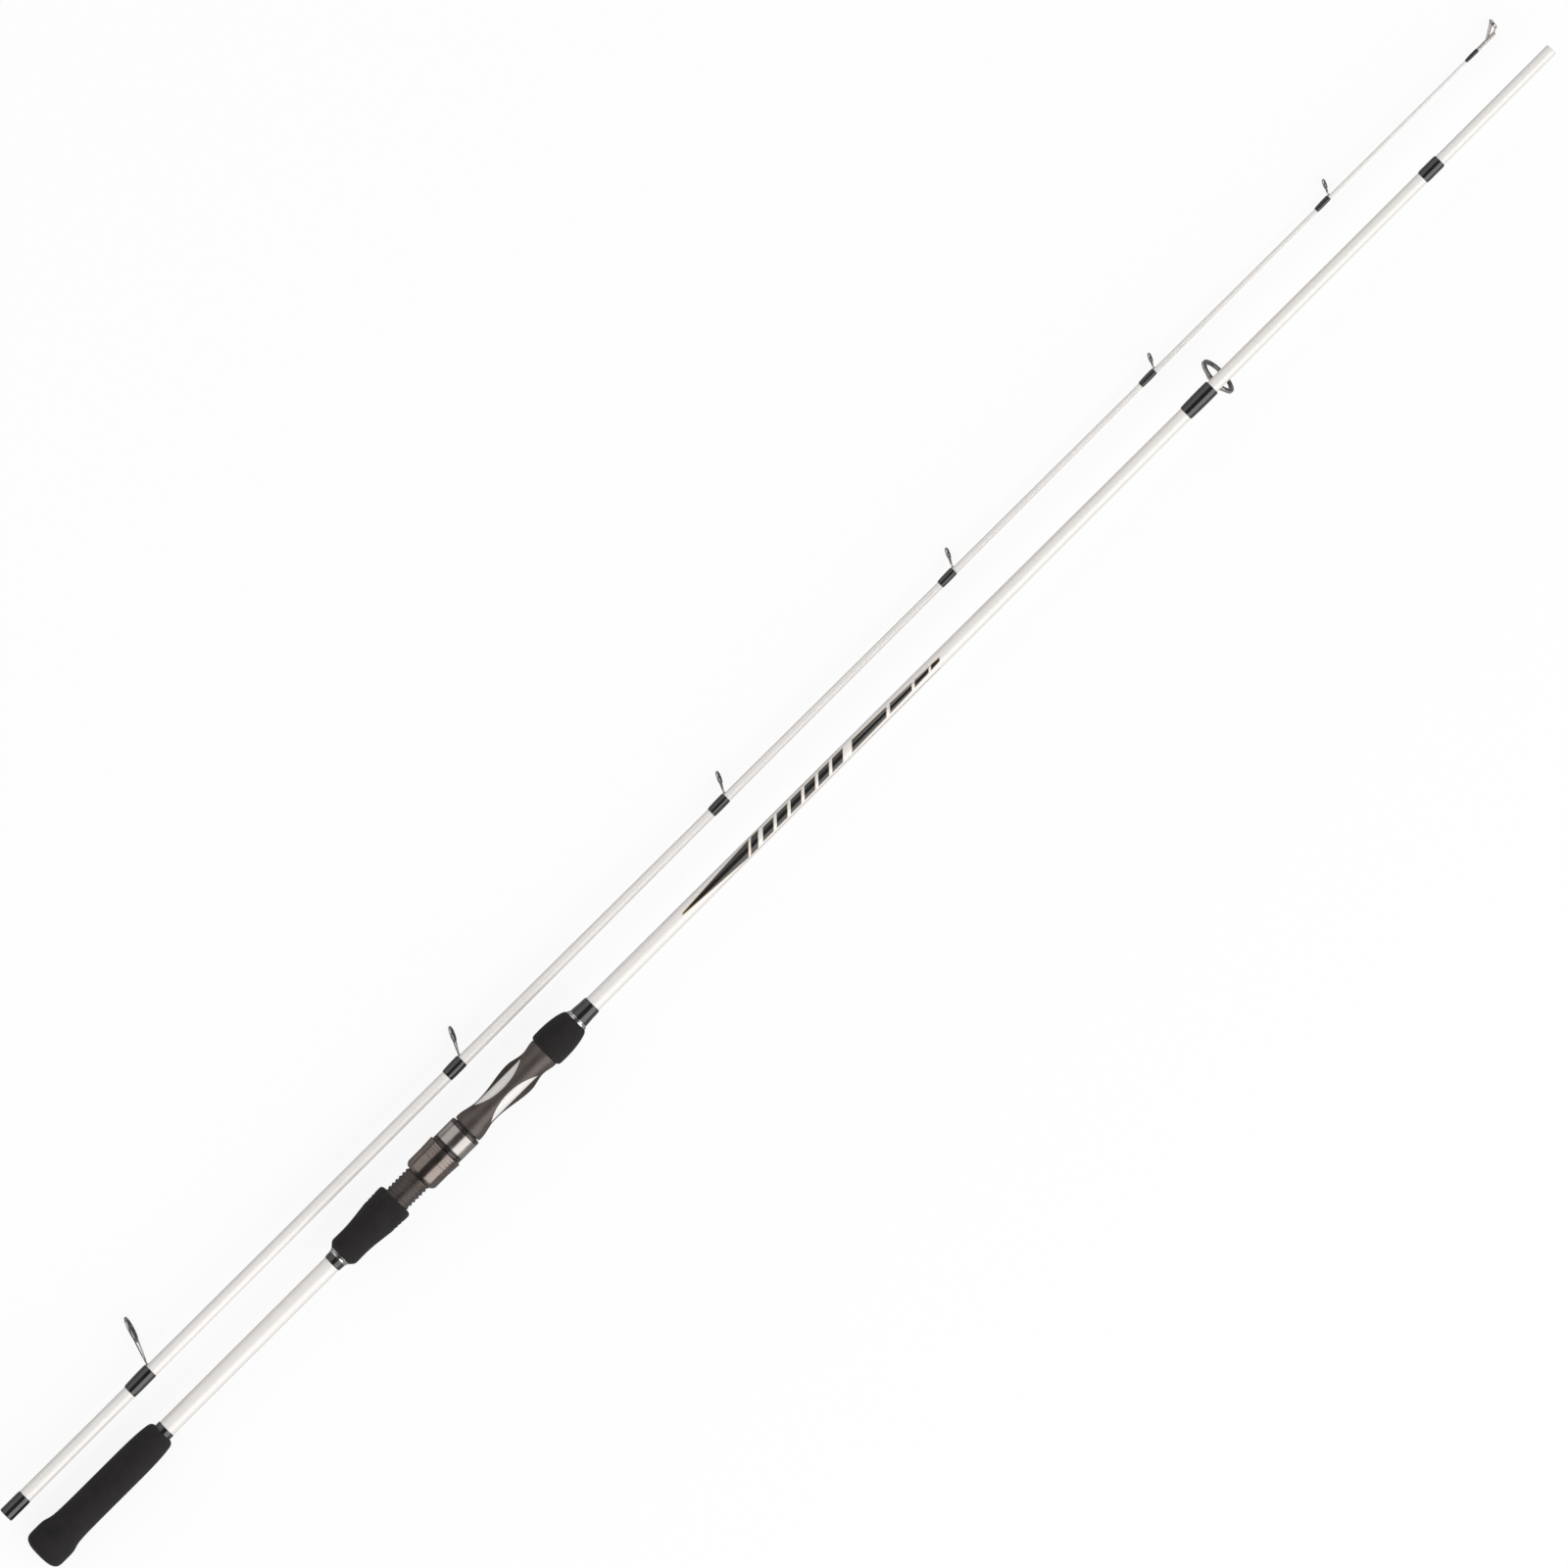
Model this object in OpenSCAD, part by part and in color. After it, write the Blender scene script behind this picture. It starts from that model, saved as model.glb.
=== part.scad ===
// Two-piece spinning rod, taken apart, with both sections lying side by side.
// Each section is drawn along its own +X axis from its rear end, its guides towards -Z,
// and is then rolled, tilted and laid on the table at Z = 0.

/* [Layout] */
// Distance between the axes of the two sections
section_gap = 30.5; // [26:0.5:60]
// How far the tip section's rear end lies ahead of the butt end
tip_start = 4; // [0:0.5:20]
// Roll of the stripping guide about the butt section
strip_roll = 5.9; // [0:0.1:8]
// Angle by which the guides of the tip section point below level
tip_droop = 20; // [15:0.5:25]

/* [Butt blank] */
// Length of the butt section, rear grip and spigot included
butt_len = 1256; // [1240:1:1300]
// Length of the spigot, which enters the tip section
spigot_len = 92.6; // [80:0.2:100]
// Diameter of the spigot
spigot_d = 7.1; // [6.8:0.05:7.3]
// Diameter of the blank in the rear grip
butt_d = 10.96; // [10.6:0.02:11.2]
// Diameter of the blank just ahead of the seat
fore_d = 10.1; // [9.8:0.05:10.4]
// Diameter of the blank halfway along
mid_d = 8.9; // [8.5:0.05:9.3]
// Diameter of the blank behind the spigot
shoulder_d = 7.6; // [7.5:0.05:8]
// Wall of the butt blank
butt_wall = 1; // [0.7:0.05:1.3]
// Where the taper of the butt blank begins
taper_1_at = 240; // [200:1:244]
// Where the blank reaches its diameter ahead of the seat
taper_2_at = 500; // [480:1:600]
// Where the blank reaches its middle diameter
taper_3_at = 804; // [700:1:850]
// Where the blank reaches its diameter behind the spigot
taper_4_at = 1080; // [1000:1:1120]
// Length of the plug in the end of the spigot
plug_len = 9; // [5:0.5:15]

/* [Rear grip] */
// Length of the rear grip
grip_len = 103; // [95:0.5:120]
// Diameter of the grip along its body
grip_d = 21.2; // [19:0.1:23]
// Diameter of the knob at the butt
knob_d = 26; // [24:0.1:28]
// Length of the knob before it narrows
knob_len = 15; // [12:0.5:20]
// Length over which the knob narrows to the body
knob_flare = 12; // [8:0.5:20]
// Diameter at the front edge of the grip
grip_nose_d = 18; // [16:0.1:19]
// Length of the grip's tapered nose
grip_nose_len = 18; // [10:0.5:30]
// Radius of the knob's rear corner
knob_corner = 5.2; // [3:0.1:6]
// Rise of the knob's domed end
knob_dome = 1; // [0.4:0.1:2]
// Foam between the end of the blank and the end of the knob
grip_end_wall = 9; // [6:0.5:12]
// Diameter of the gloss collar at the front of the rear grip
collar_d = 12; // [11.8:0.1:13]
// Length of the collar that shows
collar_out = 3.6; // [2:0.1:8]
// Length of the collar inside the grip
collar_in = 3.4; // [2:0.1:6]

/* [Seat rear grip] */
// Where the winding band behind the seat begins
seat_at = 243.9; // [243:0.1:260]
// Length of the winding band
band_len = 4.7; // [3:0.1:8]
// Thickness of the band over the blank
band_t = 0.5; // [0.3:0.05:0.8]
// Length of the metal trim ring
trim_len = 2.6; // [2:0.1:4]
// Diameter of the trim ring where it meets the foam
trim_d = 15.2; // [14:0.1:16]
// Length of the seat's rear grip
sgrip_len = 46.2; // [42:0.2:52]
// Diameter at the rear of the seat's rear grip
sgrip_rear_d = 19.6; // [18.5:0.1:20]
// Diameter at the front of the seat's rear grip
sgrip_front_d = 24; // [22:0.1:25]
// Depth of the three grooves near its front
groove_depth = 0.3; // [0.1:0.05:0.5]

/* [Reel seat] */
// Length of the threaded barrel that shows without the nut
barrel_len = 59.1; // [56:0.1:66]
// Diameter over the thread
thread_d = 17.3; // [17.2:0.05:17.5]
// Depth of the thread
thread_depth = 0.7; // [0.4:0.05:0.75]
// Pitch of the thread
thread_pitch = 2.88; // [2:0.02:3.2]
// Width of the keyway along the barrel
keyway_w = 0.9; // [0.7:0.05:1.2]
// Bore of the seat
seat_bore_d = 14.5; // [14.2:0.05:14.7]
// Length of the skeleton body between the barrel and the foregrip
skeleton_len = 64.4; // [62:0.2:70]
// Diameter of the shoulder behind the windows
shoulder_ring_d = 19.7; // [18.5:0.1:20]
// Diameter of the waist where the windows begin
waist_d = 15.4; // [15.2:0.05:16]
// Diameter of the swell along the windows
swell_d = 20.8; // [19:0.1:21]
// Diameter of the neck ahead of the windows
neck_d = 17.1; // [16.5:0.1:18]
// Diameter where the body meets the foregrip
collar_front_d = 19.6; // [18:0.1:20]
// Where the windows begin, ahead of the barrel
window_at = 12.5; // [10:0.1:14]
// Length of a window
window_len = 39.2; // [30:0.2:40]
// Width of the bridge between the windows at its waist
bridge_w = 4.2; // [3:0.1:6]
// Height of the reel foot deck below the axis
deck_h = 8.8; // [8.7:0.05:9]
// Width of the reel foot deck
deck_w = 13; // [11:0.1:13.6]
// Height of the pockets that hold the reel foot
pocket_h = 5.2; // [4.8:0.1:5.6]
// Width of the pockets
pocket_w = 13.2; // [12:0.1:13.4]
// Depth of the fixed hood's pocket
pocket_len = 14; // [12:0.1:16]
// Wall of the hoods around their pockets
hood_wall = 1.3; // [1:0.05:1.5]
// Liner in each pocket
liner_t = 0.5; // [0.3:0.05:0.6]
// How far the fixed hood reaches back over the deck
fixed_hood_out = 4; // [2:0.1:6]
// Length of the seat's tube inside the foregrip
nose_tube_len = 17.3; // [17:0.1:20]
// Diameter of the seat's tube inside the foregrip
nose_tube_d = 17.2; // [16.5:0.05:17.4]
// Length of the seat's tail inside the rear grip
tail_len = 12; // [8:0.2:14]

/* [Nut and hood] */
// Length of the lock nut
nut_len = 22.4; // [18:0.1:24]
// Diameter of the lock nut
nut_d = 22.6; // [22:0.1:23.2]
// Diameter over the ribs at its front
nut_rib_d = 23.6; // [22.8:0.1:24]
// Length of the ribbed stretch
nut_rib_len = 9; // [6:0.1:11]
// Turns of the nut from clamped to fully open
nut_turns = 6; // [4:1:6]
// Length of the sliding hood
hood_len = 15.2; // [14.6:0.1:17]
// Diameter of the sliding hood over its cover
hood_d = 21.4; // [21.2:0.1:22]
// Thickness of the metal cover on the hood
cover_t = 0.5; // [0.3:0.05:0.55]
// Thickness of the washer between nut and hood
washer_len = 1.6; // [1:0.1:2]
// Length of the nut's neck inside the hood
neck_len = 4.6; // [4.2:0.1:5]
// Thickness of the retaining ring along the rod
ring_len = 0.8; // [0.5:0.05:1]

/* [Foregrip] */
// Length of the foregrip
fore_len = 25.5; // [22:0.1:32]
// Largest diameter of the foregrip
fore_grip_d = 23; // [22:0.1:24]
// Diameter at the front of the foregrip
fore_nose_d = 16.4; // [15:0.1:18]
// Length of the metal trim ring ahead of the foregrip
fore_trim_len = 2.4; // [1.5:0.1:4]
// Diameter of that trim ring where it meets the foam
fore_trim_d = 15; // [14:0.1:16]
// Length of the winding ahead of the trim ring
fore_wrap_len = 11.8; // [8:0.1:16]
// Thickness of that winding where it begins
fore_wrap_t = 1.3; // [0.8:0.05:1.6]

/* [Stripping guide] */
// Where the winding of the stripping guide begins
strip_at = 952.6; // [900:0.2:1000]
// Length of its winding
strip_wrap_len = 22.1; // [18:0.1:26]
// Distance from the rod's axis to the ring's centre
strip_reach = 20.8; // [19.5:0.1:26]
// Outer radius of the ring's holder
strip_ring_r = 12.7; // [11:0.1:14]
// Radius of the hole in the ring
strip_hole_r = 9.5; // [8:0.1:10]
// Forward lean of the frame
strip_lean = 19; // [10:0.5:25]
// Where the ferrule stop winding begins, ahead of the stripping guide's
stop_from_strip = 196.2; // [150:0.2:198]

/* [Tip blank] */
// Length of the tip section's blank
tip_len = 1235; // [1225:0.5:1245]
// Diameter at the ferrule end
tip_rear_d = 8.6; // [8.5:0.05:8.8]
// Diameter at the second guide
tip_d_1 = 7.3; // [7.2:0.05:7.6]
// Diameter at the fifth guide
tip_d_2 = 3.3; // [3.1:0.05:3.6]
// Diameter at the tip
tip_end_d = 1.5; // [1.4:0.02:1.6]
// Where the tip blank has its second diameter
tip_1_at = 339; // [300:1:400]
// Where the tip blank has its third diameter
tip_2_at = 915; // [850:1:930]
// Wall of the tip blank beyond the socket
tip_wall = 0.8; // [0.6:0.05:0.9]
// Where the hollow of the tip blank ends
tip_hollow = 880; // [700:1:900]
// Depth of the socket for the spigot
socket_len = 95; // [94:0.2:105]
// Clearance all round between spigot and socket
spigot_fit = 0.03; // [0.01:0.01:0.05]
// Length of the ferrule winding
ferrule_len = 15.6; // [12:0.1:20]
// Thickness of the ferrule winding
ferrule_t = 0.4; // [0.3:0.05:0.6]

/* [Guides of the tip section] */
// Where the windings of the first two guides begin, from the ferrule end
guide_from_ferrule = [102.3, 365.8]; // [80:0.1:420]
// Where the windings of the other four begin, back from the end of the blank
guide_from_tip = [649.7, 459.5, 292.9, 147]; // [60:0.1:660]
// Length of each winding
guide_wrap_len = [17.9, 12.9, 12.8, 11.8, 11.9, 10.9]; // [9:0.1:20]
// Distance from the rod's axis to each ring's centre
guide_reach = [27, 16.1, 12.2, 10.6, 8, 8]; // [7:0.1:30]
// Outer radius of each ring's holder
guide_ring_r = [8.4, 5.2, 4.2, 3.7, 3.2, 3.2]; // [3:0.1:9]
// Radius of the hole in each ring
guide_hole_r = [5.9, 3.5, 2.8, 2.4, 2, 2]; // [1.8:0.1:6]
// Forward lean of each frame
guide_lean = [19, 26, 26, 26, 26, 26]; // [15:0.5:30]

/* [Tip-top] */
// Length of the tip-top's winding
tt_wrap_len = 9.8; // [7:0.1:12]
// Where the tip-top's winding begins, back from the end of the blank
tt_wrap_from_tip = 22.5; // [21:0.1:27]
// Outer diameter of the tip-top's tube
tt_tube_d = 2.1; // [2:0.05:2.4]
// How far the tube runs on past its winding
tt_tube_out = 14.4; // [13:0.1:16]
// Distance from the axis to the tip-top ring's centre
tt_reach = 4.7; // [4.6:0.05:5.4]
// Outer radius of the tip-top ring's holder
tt_ring_r = 3.2; // [3:0.05:3.3]
// Radius of the hole in the tip-top ring
tt_hole_r = 1.9; // [1.6:0.05:2]
// Forward lean of the tip-top ring
tt_lean = 6; // [3:0.5:10]

/* [Hidden] */
// glue line between bonded pieces, and running clearance of moving ones
glue = 0.05;
run = 0.15;
round_fn = 72;

// positions along the butt section, each from the piece before it
spigot_at = butt_len - spigot_len;
trim_at = seat_at + band_len;
sgrip_at = trim_at + trim_len;
barrel_at = sgrip_at + sgrip_len;
body_at = barrel_at + barrel_len;
hood_gap = 0.8;
hood_at = body_at - hood_gap - hood_len;
nut_front = hood_at - washer_len - run;
nut_at = nut_front - nut_len;
fore_at = body_at + skeleton_len;
fore_trim_at = fore_at + fore_len;
fore_wrap_at = fore_trim_at + fore_trim_len;
window_mid = body_at + window_at + window_len / 2;
nose_at = fore_at + nose_tube_len;
tail_at = barrel_at - tail_len;
stop_at = strip_at + stop_from_strip;

// radii that more than one piece uses
bore_r = seat_bore_d / 2;
crest_r = thread_d / 2;
root_r = crest_r - thread_depth;
slide_r = crest_r + run;
hood_shell_r = hood_d / 2 - cover_t - glue;
nut_neck_r = slide_r + 0.65;
ring_in_r = nut_neck_r - 0.25;
ring_out_r = nut_neck_r + 0.25;
tip_rear_r = tip_rear_d / 2;
socket_r = spigot_d / 2 + spigot_fit;

// outer stations of the two blanks, as [position, radius]
butt_stations = [
    [grip_end_wall, butt_d / 2], [taper_1_at, butt_d / 2], [taper_2_at, fore_d / 2],
    [taper_3_at, mid_d / 2], [taper_4_at, shoulder_d / 2], [spigot_at, shoulder_d / 2]
];
tip_stations = [
    [0, tip_rear_r], [tip_1_at, tip_d_1 / 2], [tip_2_at, tip_d_2 / 2], [tip_len, tip_end_d / 2]
];
function butt_r(x) = lookup(x, butt_stations);
function tip_r(x) = lookup(x, tip_stations);

// the windings of the tip section's guides and its tip-top
guide_at = concat(guide_from_ferrule, [for (back = guide_from_tip) tip_len - back]);
tt_wrap_at = tip_len - tt_wrap_from_tip;

// how each section lies: it touches the table at a rear and at a front point, [position, depth]
function ring_low(reach, r, lean, roll, half_t) =
    reach * cos(roll) + r * sqrt(pow(cos(lean) * cos(roll), 2) + pow(sin(roll), 2))
    + half_t * sin(lean) * cos(roll);
function ring_x(base, stand, r, lean) = base + (stand / cos(lean) + r) * sin(lean);
tip_roll = 90 - tip_droop;
strip_holder_t = 1.6;
holder_t = 1.2;
strip_base = strip_at + strip_wrap_len + 1.2;
guide_base = [for (i = [0:5]) guide_at[i] + guide_wrap_len[i] + 0.6];
tt_wrap_end = tt_wrap_at + tt_wrap_len;
tt_ring_at = tt_wrap_end + tt_tube_out + 3;
knob_touch = [knob_corner + knob_dome, knob_d / 2];
strip_touch = [
    ring_x(strip_base, strip_reach - butt_r(strip_base), strip_ring_r, strip_lean),
    ring_low(strip_reach, strip_ring_r, strip_lean, strip_roll, strip_holder_t / 2)
];
g2_touch = [
    ring_x(guide_base[0], guide_reach[0] - tip_r(guide_base[0]), 0, guide_lean[0]),
    ring_low(guide_reach[0], guide_ring_r[0], guide_lean[0], tip_roll, holder_t / 2)
];
tt_touch = [tt_ring_at, ring_low(tt_reach, tt_ring_r, tt_lean, tip_roll, holder_t / 2)];
function tilt_of(a, b) = atan((b[1] - a[1]) / (b[0] - a[0]));
function rear_height(a, t) = a[1] * cos(t) - a[0] * sin(t);
butt_tilt = tilt_of(knob_touch, strip_touch);
tip_tilt = tilt_of(g2_touch, tt_touch);
// the origin is the middle of the part's box, on the table
guide_out = ring_low(guide_reach[0], guide_ring_r[0], guide_lean[0], tip_droop, holder_t / 2);
butt_y = -(section_gap + guide_out - knob_d / 2) / 2;
butt_x = -(butt_len * cos(butt_tilt) + (spigot_d / 2 - 0.5) * sin(butt_tilt)) / 2;

module lay_butt(roll = 0)
    translate([butt_x, butt_y, rear_height(knob_touch, butt_tilt)])
        rotate([0, -butt_tilt, 0]) rotate([roll, 0, 0]) children();
module lay_tip()
    translate([butt_x + tip_start, butt_y + section_gap, rear_height(g2_touch, tip_tilt)])
        rotate([0, -tip_tilt, 0]) rotate([tip_roll, 0, 0]) children();

// ---- shapes that repeat ----
function ease(t) = t * t * (3 - 2 * t);
function mix(a, b, t) = a + (b - a) * t;
// a smooth run of [radius, position] points between two stations
function eased(a, b, n = 8) = [for (i = [0:n]) [mix(a[1], b[1], ease(i / n)), mix(a[0], b[0], i / n)]];
function arc(x, r, size, from, to, n = 6) =
    [for (i = [0:n]) let (a = mix(from, to, i / n)) [r + size * sin(a), x + size * cos(a)]];
// [position, radius] stations as [radius, position] points, forward or backward
function forward(list, grow = 0) = [for (p = list) [p[1] + grow, p[0]]];
function backward(list, grow = 0) = [for (i = [len(list) - 1:-1:0]) [list[i][1] + grow, list[i][0]]];

module turned(points) rotate([0, 90, 0]) rotate_extrude($fn = round_fn) polygon(points);
module bar(x0, x1, r0, r1)
    translate([x0, 0, 0]) rotate([0, 90, 0]) cylinder(h = x1 - x0, r1 = r0, r2 = r1, $fn = round_fn);
module slab(x0, x1, w, z0, z1) translate([x0, -w / 2, z0]) cube([x1 - x0, w, z1 - z0]);
module prism(x0, x1) translate([x0, 0, 0]) rotate([90, 0, 90]) linear_extrude(x1 - x0) children();
module strut(p, q, r) {
    d = q - p;
    translate(p) rotate([0, acos(d[2] / norm(d)), atan2(d[1], d[0])])
        cylinder(h = norm(d), r = r, $fn = 24);
}
// the room that a blank takes, with its glue line
module butt_room() turned(concat([[0, 0]], forward([[0, butt_d / 2]], glue), forward(butt_stations, glue),
    [[0, spigot_at]]));
module tip_room() turned(concat([[0, -1], [tip_rear_r + glue, -1]], forward(tip_stations, glue),
    [[0, tip_len]]));

// a thread winding on a blank: thin at its ends, thick between
module winding(x0, x1, r0, r1, t) turned([
    [r0 + glue, x0], [r0 + t / 2, x0], [r0 + t, x0 + t * 1.6], [r1 + t, x1 - t * 1.6],
    [r1 + t / 2, x1], [r1 + glue, x1]
]);
// the outer form of a winding over a guide foot, thicker on the guide's side
module foot_winding(x0, x1, r, over, under) {
    off = (over - under) / 2;
    translate([0, 0, -off]) turned([
        [0, x0], [r + off + 0.2, x0], [r + under + off, x0 + 1.6], [r + under + off, x1 - 0.5],
        [r + off + 0.3, x1], [0, x1]
    ]);
}
module foot(x0, x1, r, w, t) slab(x0, x1, w, -r - 2 * glue - t, -r - 2 * glue);
module foot_slot(x0, x1, r, w, t) slab(x0, x1, w + 2 * glue, -r - 3 * glue - t, -0.8 * r);

// a single-foot guide stands on a leaning sheet frame; its flat is drawn with the rod across
module stand(x, r, lean) translate([x, 0, -r]) rotate([0, -lean, 0]) rotate([-90, 0, 90]) children();
module teardrop(high, ring_r, base_w) {
    dip = asin((ring_r - base_w / 2) / high);
    touch = [ring_r * cos(dip) * 0.985, high - ring_r * sin(dip) * 0.985];
    polygon([[-base_w / 2, 0], [base_w / 2, 0], touch, [-touch[0], touch[1]]]);
}
module leg_window(high, ring_r, base_w, leg_w) {
    dip = asin((ring_r - base_w / 2) / high);
    touch = [ring_r * cos(dip) * 0.985, high - ring_r * sin(dip) * 0.985];
    gap = 0.15;
    from = touch[1] * (leg_w + gap - base_w / 2) / (touch[0] - base_w / 2);
    low = max(from, leg_w);
    low_half = mix(base_w / 2, touch[0], low / touch[1]) - leg_w;
    high_half = touch[0] - leg_w;
    polygon([[-low_half, low], [low_half, low], [high_half, touch[1]], [-high_half, touch[1]]]);
}
module sheet_frame(high, ring_r, base_w, leg_w, sheet, collar, ring_seat_r) difference() {
    union() {
        linear_extrude(sheet, center = true) difference() {
            teardrop(high, ring_r, base_w);
            leg_window(high, ring_r, base_w, leg_w);
        }
        translate([0, high, 0]) cylinder(h = collar, r = ring_r, center = true, $fn = round_fn);
    }
    translate([0, high, 0]) cylinder(h = 4 * collar, r = ring_seat_r, center = true, $fn = round_fn);
}
// a ceramic ring: a straight land in the hole, rounded towards both faces
module ceramic_ring(outer_r, hole_r, thick) {
    size = min(thick * 0.35, (outer_r - hole_r) * 0.6);
    land = thick - 2 * size;
    rotate_extrude($fn = round_fn) polygon(concat(
        [[outer_r, -thick / 2 + 0.2], [outer_r, thick / 2 - 0.2], [outer_r - 0.2, thick / 2]],
        [for (i = [0:6]) let (a = 90 + 15 * i)
            [hole_r + size + size * cos(a), land / 2 + size * sin(a)]],
        [for (i = [0:6]) let (a = 180 + 15 * i)
            [hole_r + size + size * cos(a), -land / 2 + size * sin(a)]],
        [[outer_r - 0.2, -thick / 2]]
    ));
}
// a rounded pocket outline hanging below the axis, from z0 down to z1, as wide as w
function rounded_box(w, z0, z1, size) = concat(
    [[w / 2, z0]],
    [for (i = [0:4]) let (a = -22.5 * i) [w / 2 - size + size * cos(a), z1 + size + size * sin(a)]],
    [for (i = [0:4]) let (a = -90 - 22.5 * i) [-w / 2 + size + size * cos(a), z1 + size + size * sin(a)]],
    [[-w / 2, z0]]
);

// ---- butt section ----
module butt_blank() color("whitesmoke") lay_butt() turned(concat(
    forward(butt_stations),
    [[spigot_d / 2, spigot_at], [spigot_d / 2, butt_len - 0.5], [spigot_d / 2 - 0.5, butt_len]],
    [[spigot_d / 2 - butt_wall, butt_len], [spigot_d / 2 - butt_wall, spigot_at - 3]],
    backward([for (i = [0:4]) butt_stations[i]], -butt_wall)
));
module spigot_plug() color("gainsboro") lay_butt()
    bar(butt_len - plug_len, butt_len, spigot_d / 2 - butt_wall - glue, spigot_d / 2 - butt_wall - glue);

collar_seat_r = collar_d / 2 + glue;
collar_at = grip_len - collar_in;
module rear_grip() color("#242122") lay_butt() difference() {
    turned(concat(
        [[0, 0], [knob_d / 2 - knob_corner - 1.5, knob_dome * 0.45]],
        arc(knob_touch[0], knob_d / 2 - knob_corner, knob_corner, 165, 90),
        eased([knob_len, knob_d / 2], [knob_len + knob_flare, grip_d / 2]),
        eased([grip_len - grip_nose_len, grip_d / 2], [grip_len - 1.6, grip_nose_d / 2]),
        arc(grip_len - 1.5, grip_nose_d / 2 - 1.5, 1.5, 75, 0, 4),
        [[collar_seat_r + 0.5, grip_len], [collar_seat_r, grip_len - 1.5], [0, grip_len - 1.5]]
    ));
    bar(collar_at - glue, grip_len, collar_seat_r, collar_seat_r);
    translate([grip_end_wall - glue, 0, 0]) bar(0, grip_len, butt_d / 2 + glue, butt_d / 2 + glue);
}
module rear_grip_collar() color("#111112") lay_butt() difference() {
    turned([
        [0, collar_at], [collar_d / 2, collar_at], [collar_d / 2, grip_len + collar_out - 0.5],
        [collar_d / 2 - 0.3, grip_len + collar_out], [0, grip_len + collar_out]
    ]);
    butt_room();
}
module seat_band() color("#111112") lay_butt() difference() {
    turned([
        [0, seat_at], [butt_d / 2 + band_t / 2, seat_at], [butt_d / 2 + band_t, seat_at + 0.8],
        [butt_d / 2 + band_t + 0.2, trim_at], [0, trim_at]
    ]);
    butt_room();
}
module seat_trim_ring() color("silver") lay_butt() difference() {
    turned(concat([[0, trim_at]], eased([trim_at, butt_d / 2 + band_t + 0.3], [sgrip_at, trim_d / 2], 5),
        [[0, sgrip_at]]));
    butt_room();
}
// the three grooves lie at fixed distances behind the front of the grip
groove_back = [12.6, 9.6, 6.8];
sgrip_swell = sgrip_at + 31;
function groove(x, r) = [[r, x - 0.9], [r - groove_depth, x], [r, x + 0.9]];
module seat_rear_grip() color("#242122") lay_butt() difference() {
    turned(concat(
        [[0, sgrip_at], [trim_d / 2 + 0.2, sgrip_at]],
        arc(sgrip_at + 3, sgrip_rear_d / 2 - 1.4, 1.4, 150, 90, 4),
        eased([sgrip_at + 10, sgrip_rear_d / 2 - 0.1], [sgrip_swell, sgrip_front_d / 2 - 0.35]),
        groove(barrel_at - groove_back[0], sgrip_front_d / 2 - 0.3),
        groove(barrel_at - groove_back[1], sgrip_front_d / 2 - 0.2),
        groove(barrel_at - groove_back[2], sgrip_front_d / 2 - 0.1),
        arc(barrel_at - 1.8, sgrip_front_d / 2 - 1.8, 1.8, 90, 20, 4),
        [[crest_r + 0.6, barrel_at], [0, barrel_at]]
    ));
    bar(tail_at - glue, barrel_at + 1, root_r + glue, root_r + glue);
    butt_room();
}
module filler(x0, x1) difference() {
    bar(x0, x1, bore_r - glue, bore_r - glue);
    butt_room();
}
sleeve_at = body_at + window_at - 2.5;
sleeve_end = sleeve_at + window_len + 5;
module rear_arbor() color("dimgray") lay_butt() filler(tail_at, sleeve_at - glue);
module window_sleeve() color("whitesmoke") lay_butt() filler(sleeve_at, sleeve_end);
module front_arbor() color("dimgray") lay_butt() filler(sleeve_end + glue, nose_at);

ring_count = floor((barrel_len - 2) / thread_pitch);
thread_at = barrel_at + 0.5;
swell_at = body_at + 42.6;
neck_at = body_at + 54;
pocket_top = deck_h - 0.45;
pocket_floor = deck_h + pocket_h;
function thread_ring(x) = [
    [root_r, x], [crest_r, x + thread_pitch * 0.28], [crest_r, x + thread_pitch * 0.5],
    [root_r, x + thread_pitch * 0.78]
];
module reel_seat() color("#5b504b") lay_butt() difference() {
    union() {
        difference() {
            union() {
                seat_body();
                slab(body_at + 1.5, fore_at - 1, deck_w, -deck_h - 1, -bore_r + 1.5);
            }
            slab(body_at - 0.1, fore_at - fixed_hood_out, shoulder_ring_d, -swell_d, -deck_h);
        }
        prism(fore_at - fixed_hood_out, fore_at + pocket_len - fixed_hood_out + hood_wall)
            polygon(rounded_box(pocket_w + 2 * liner_t + 2 * hood_wall, -bore_r + 1.5,
                -pocket_floor - liner_t - hood_wall, 3.6));
    }
    bar(tail_at - 1, nose_at + 1, bore_r, bore_r);
    prism(fore_at - fixed_hood_out - 1, fore_at - fixed_hood_out + pocket_len)
        polygon(rounded_box(pocket_w + 2 * liner_t, -pocket_top, -pocket_floor - liner_t, 2.6));
    for (side = [-1, 1]) window_cut(side);
    slab(barrel_at - 1, body_at + 0.1, keyway_w, crest_r - 0.85, crest_r + 1);
}
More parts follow.
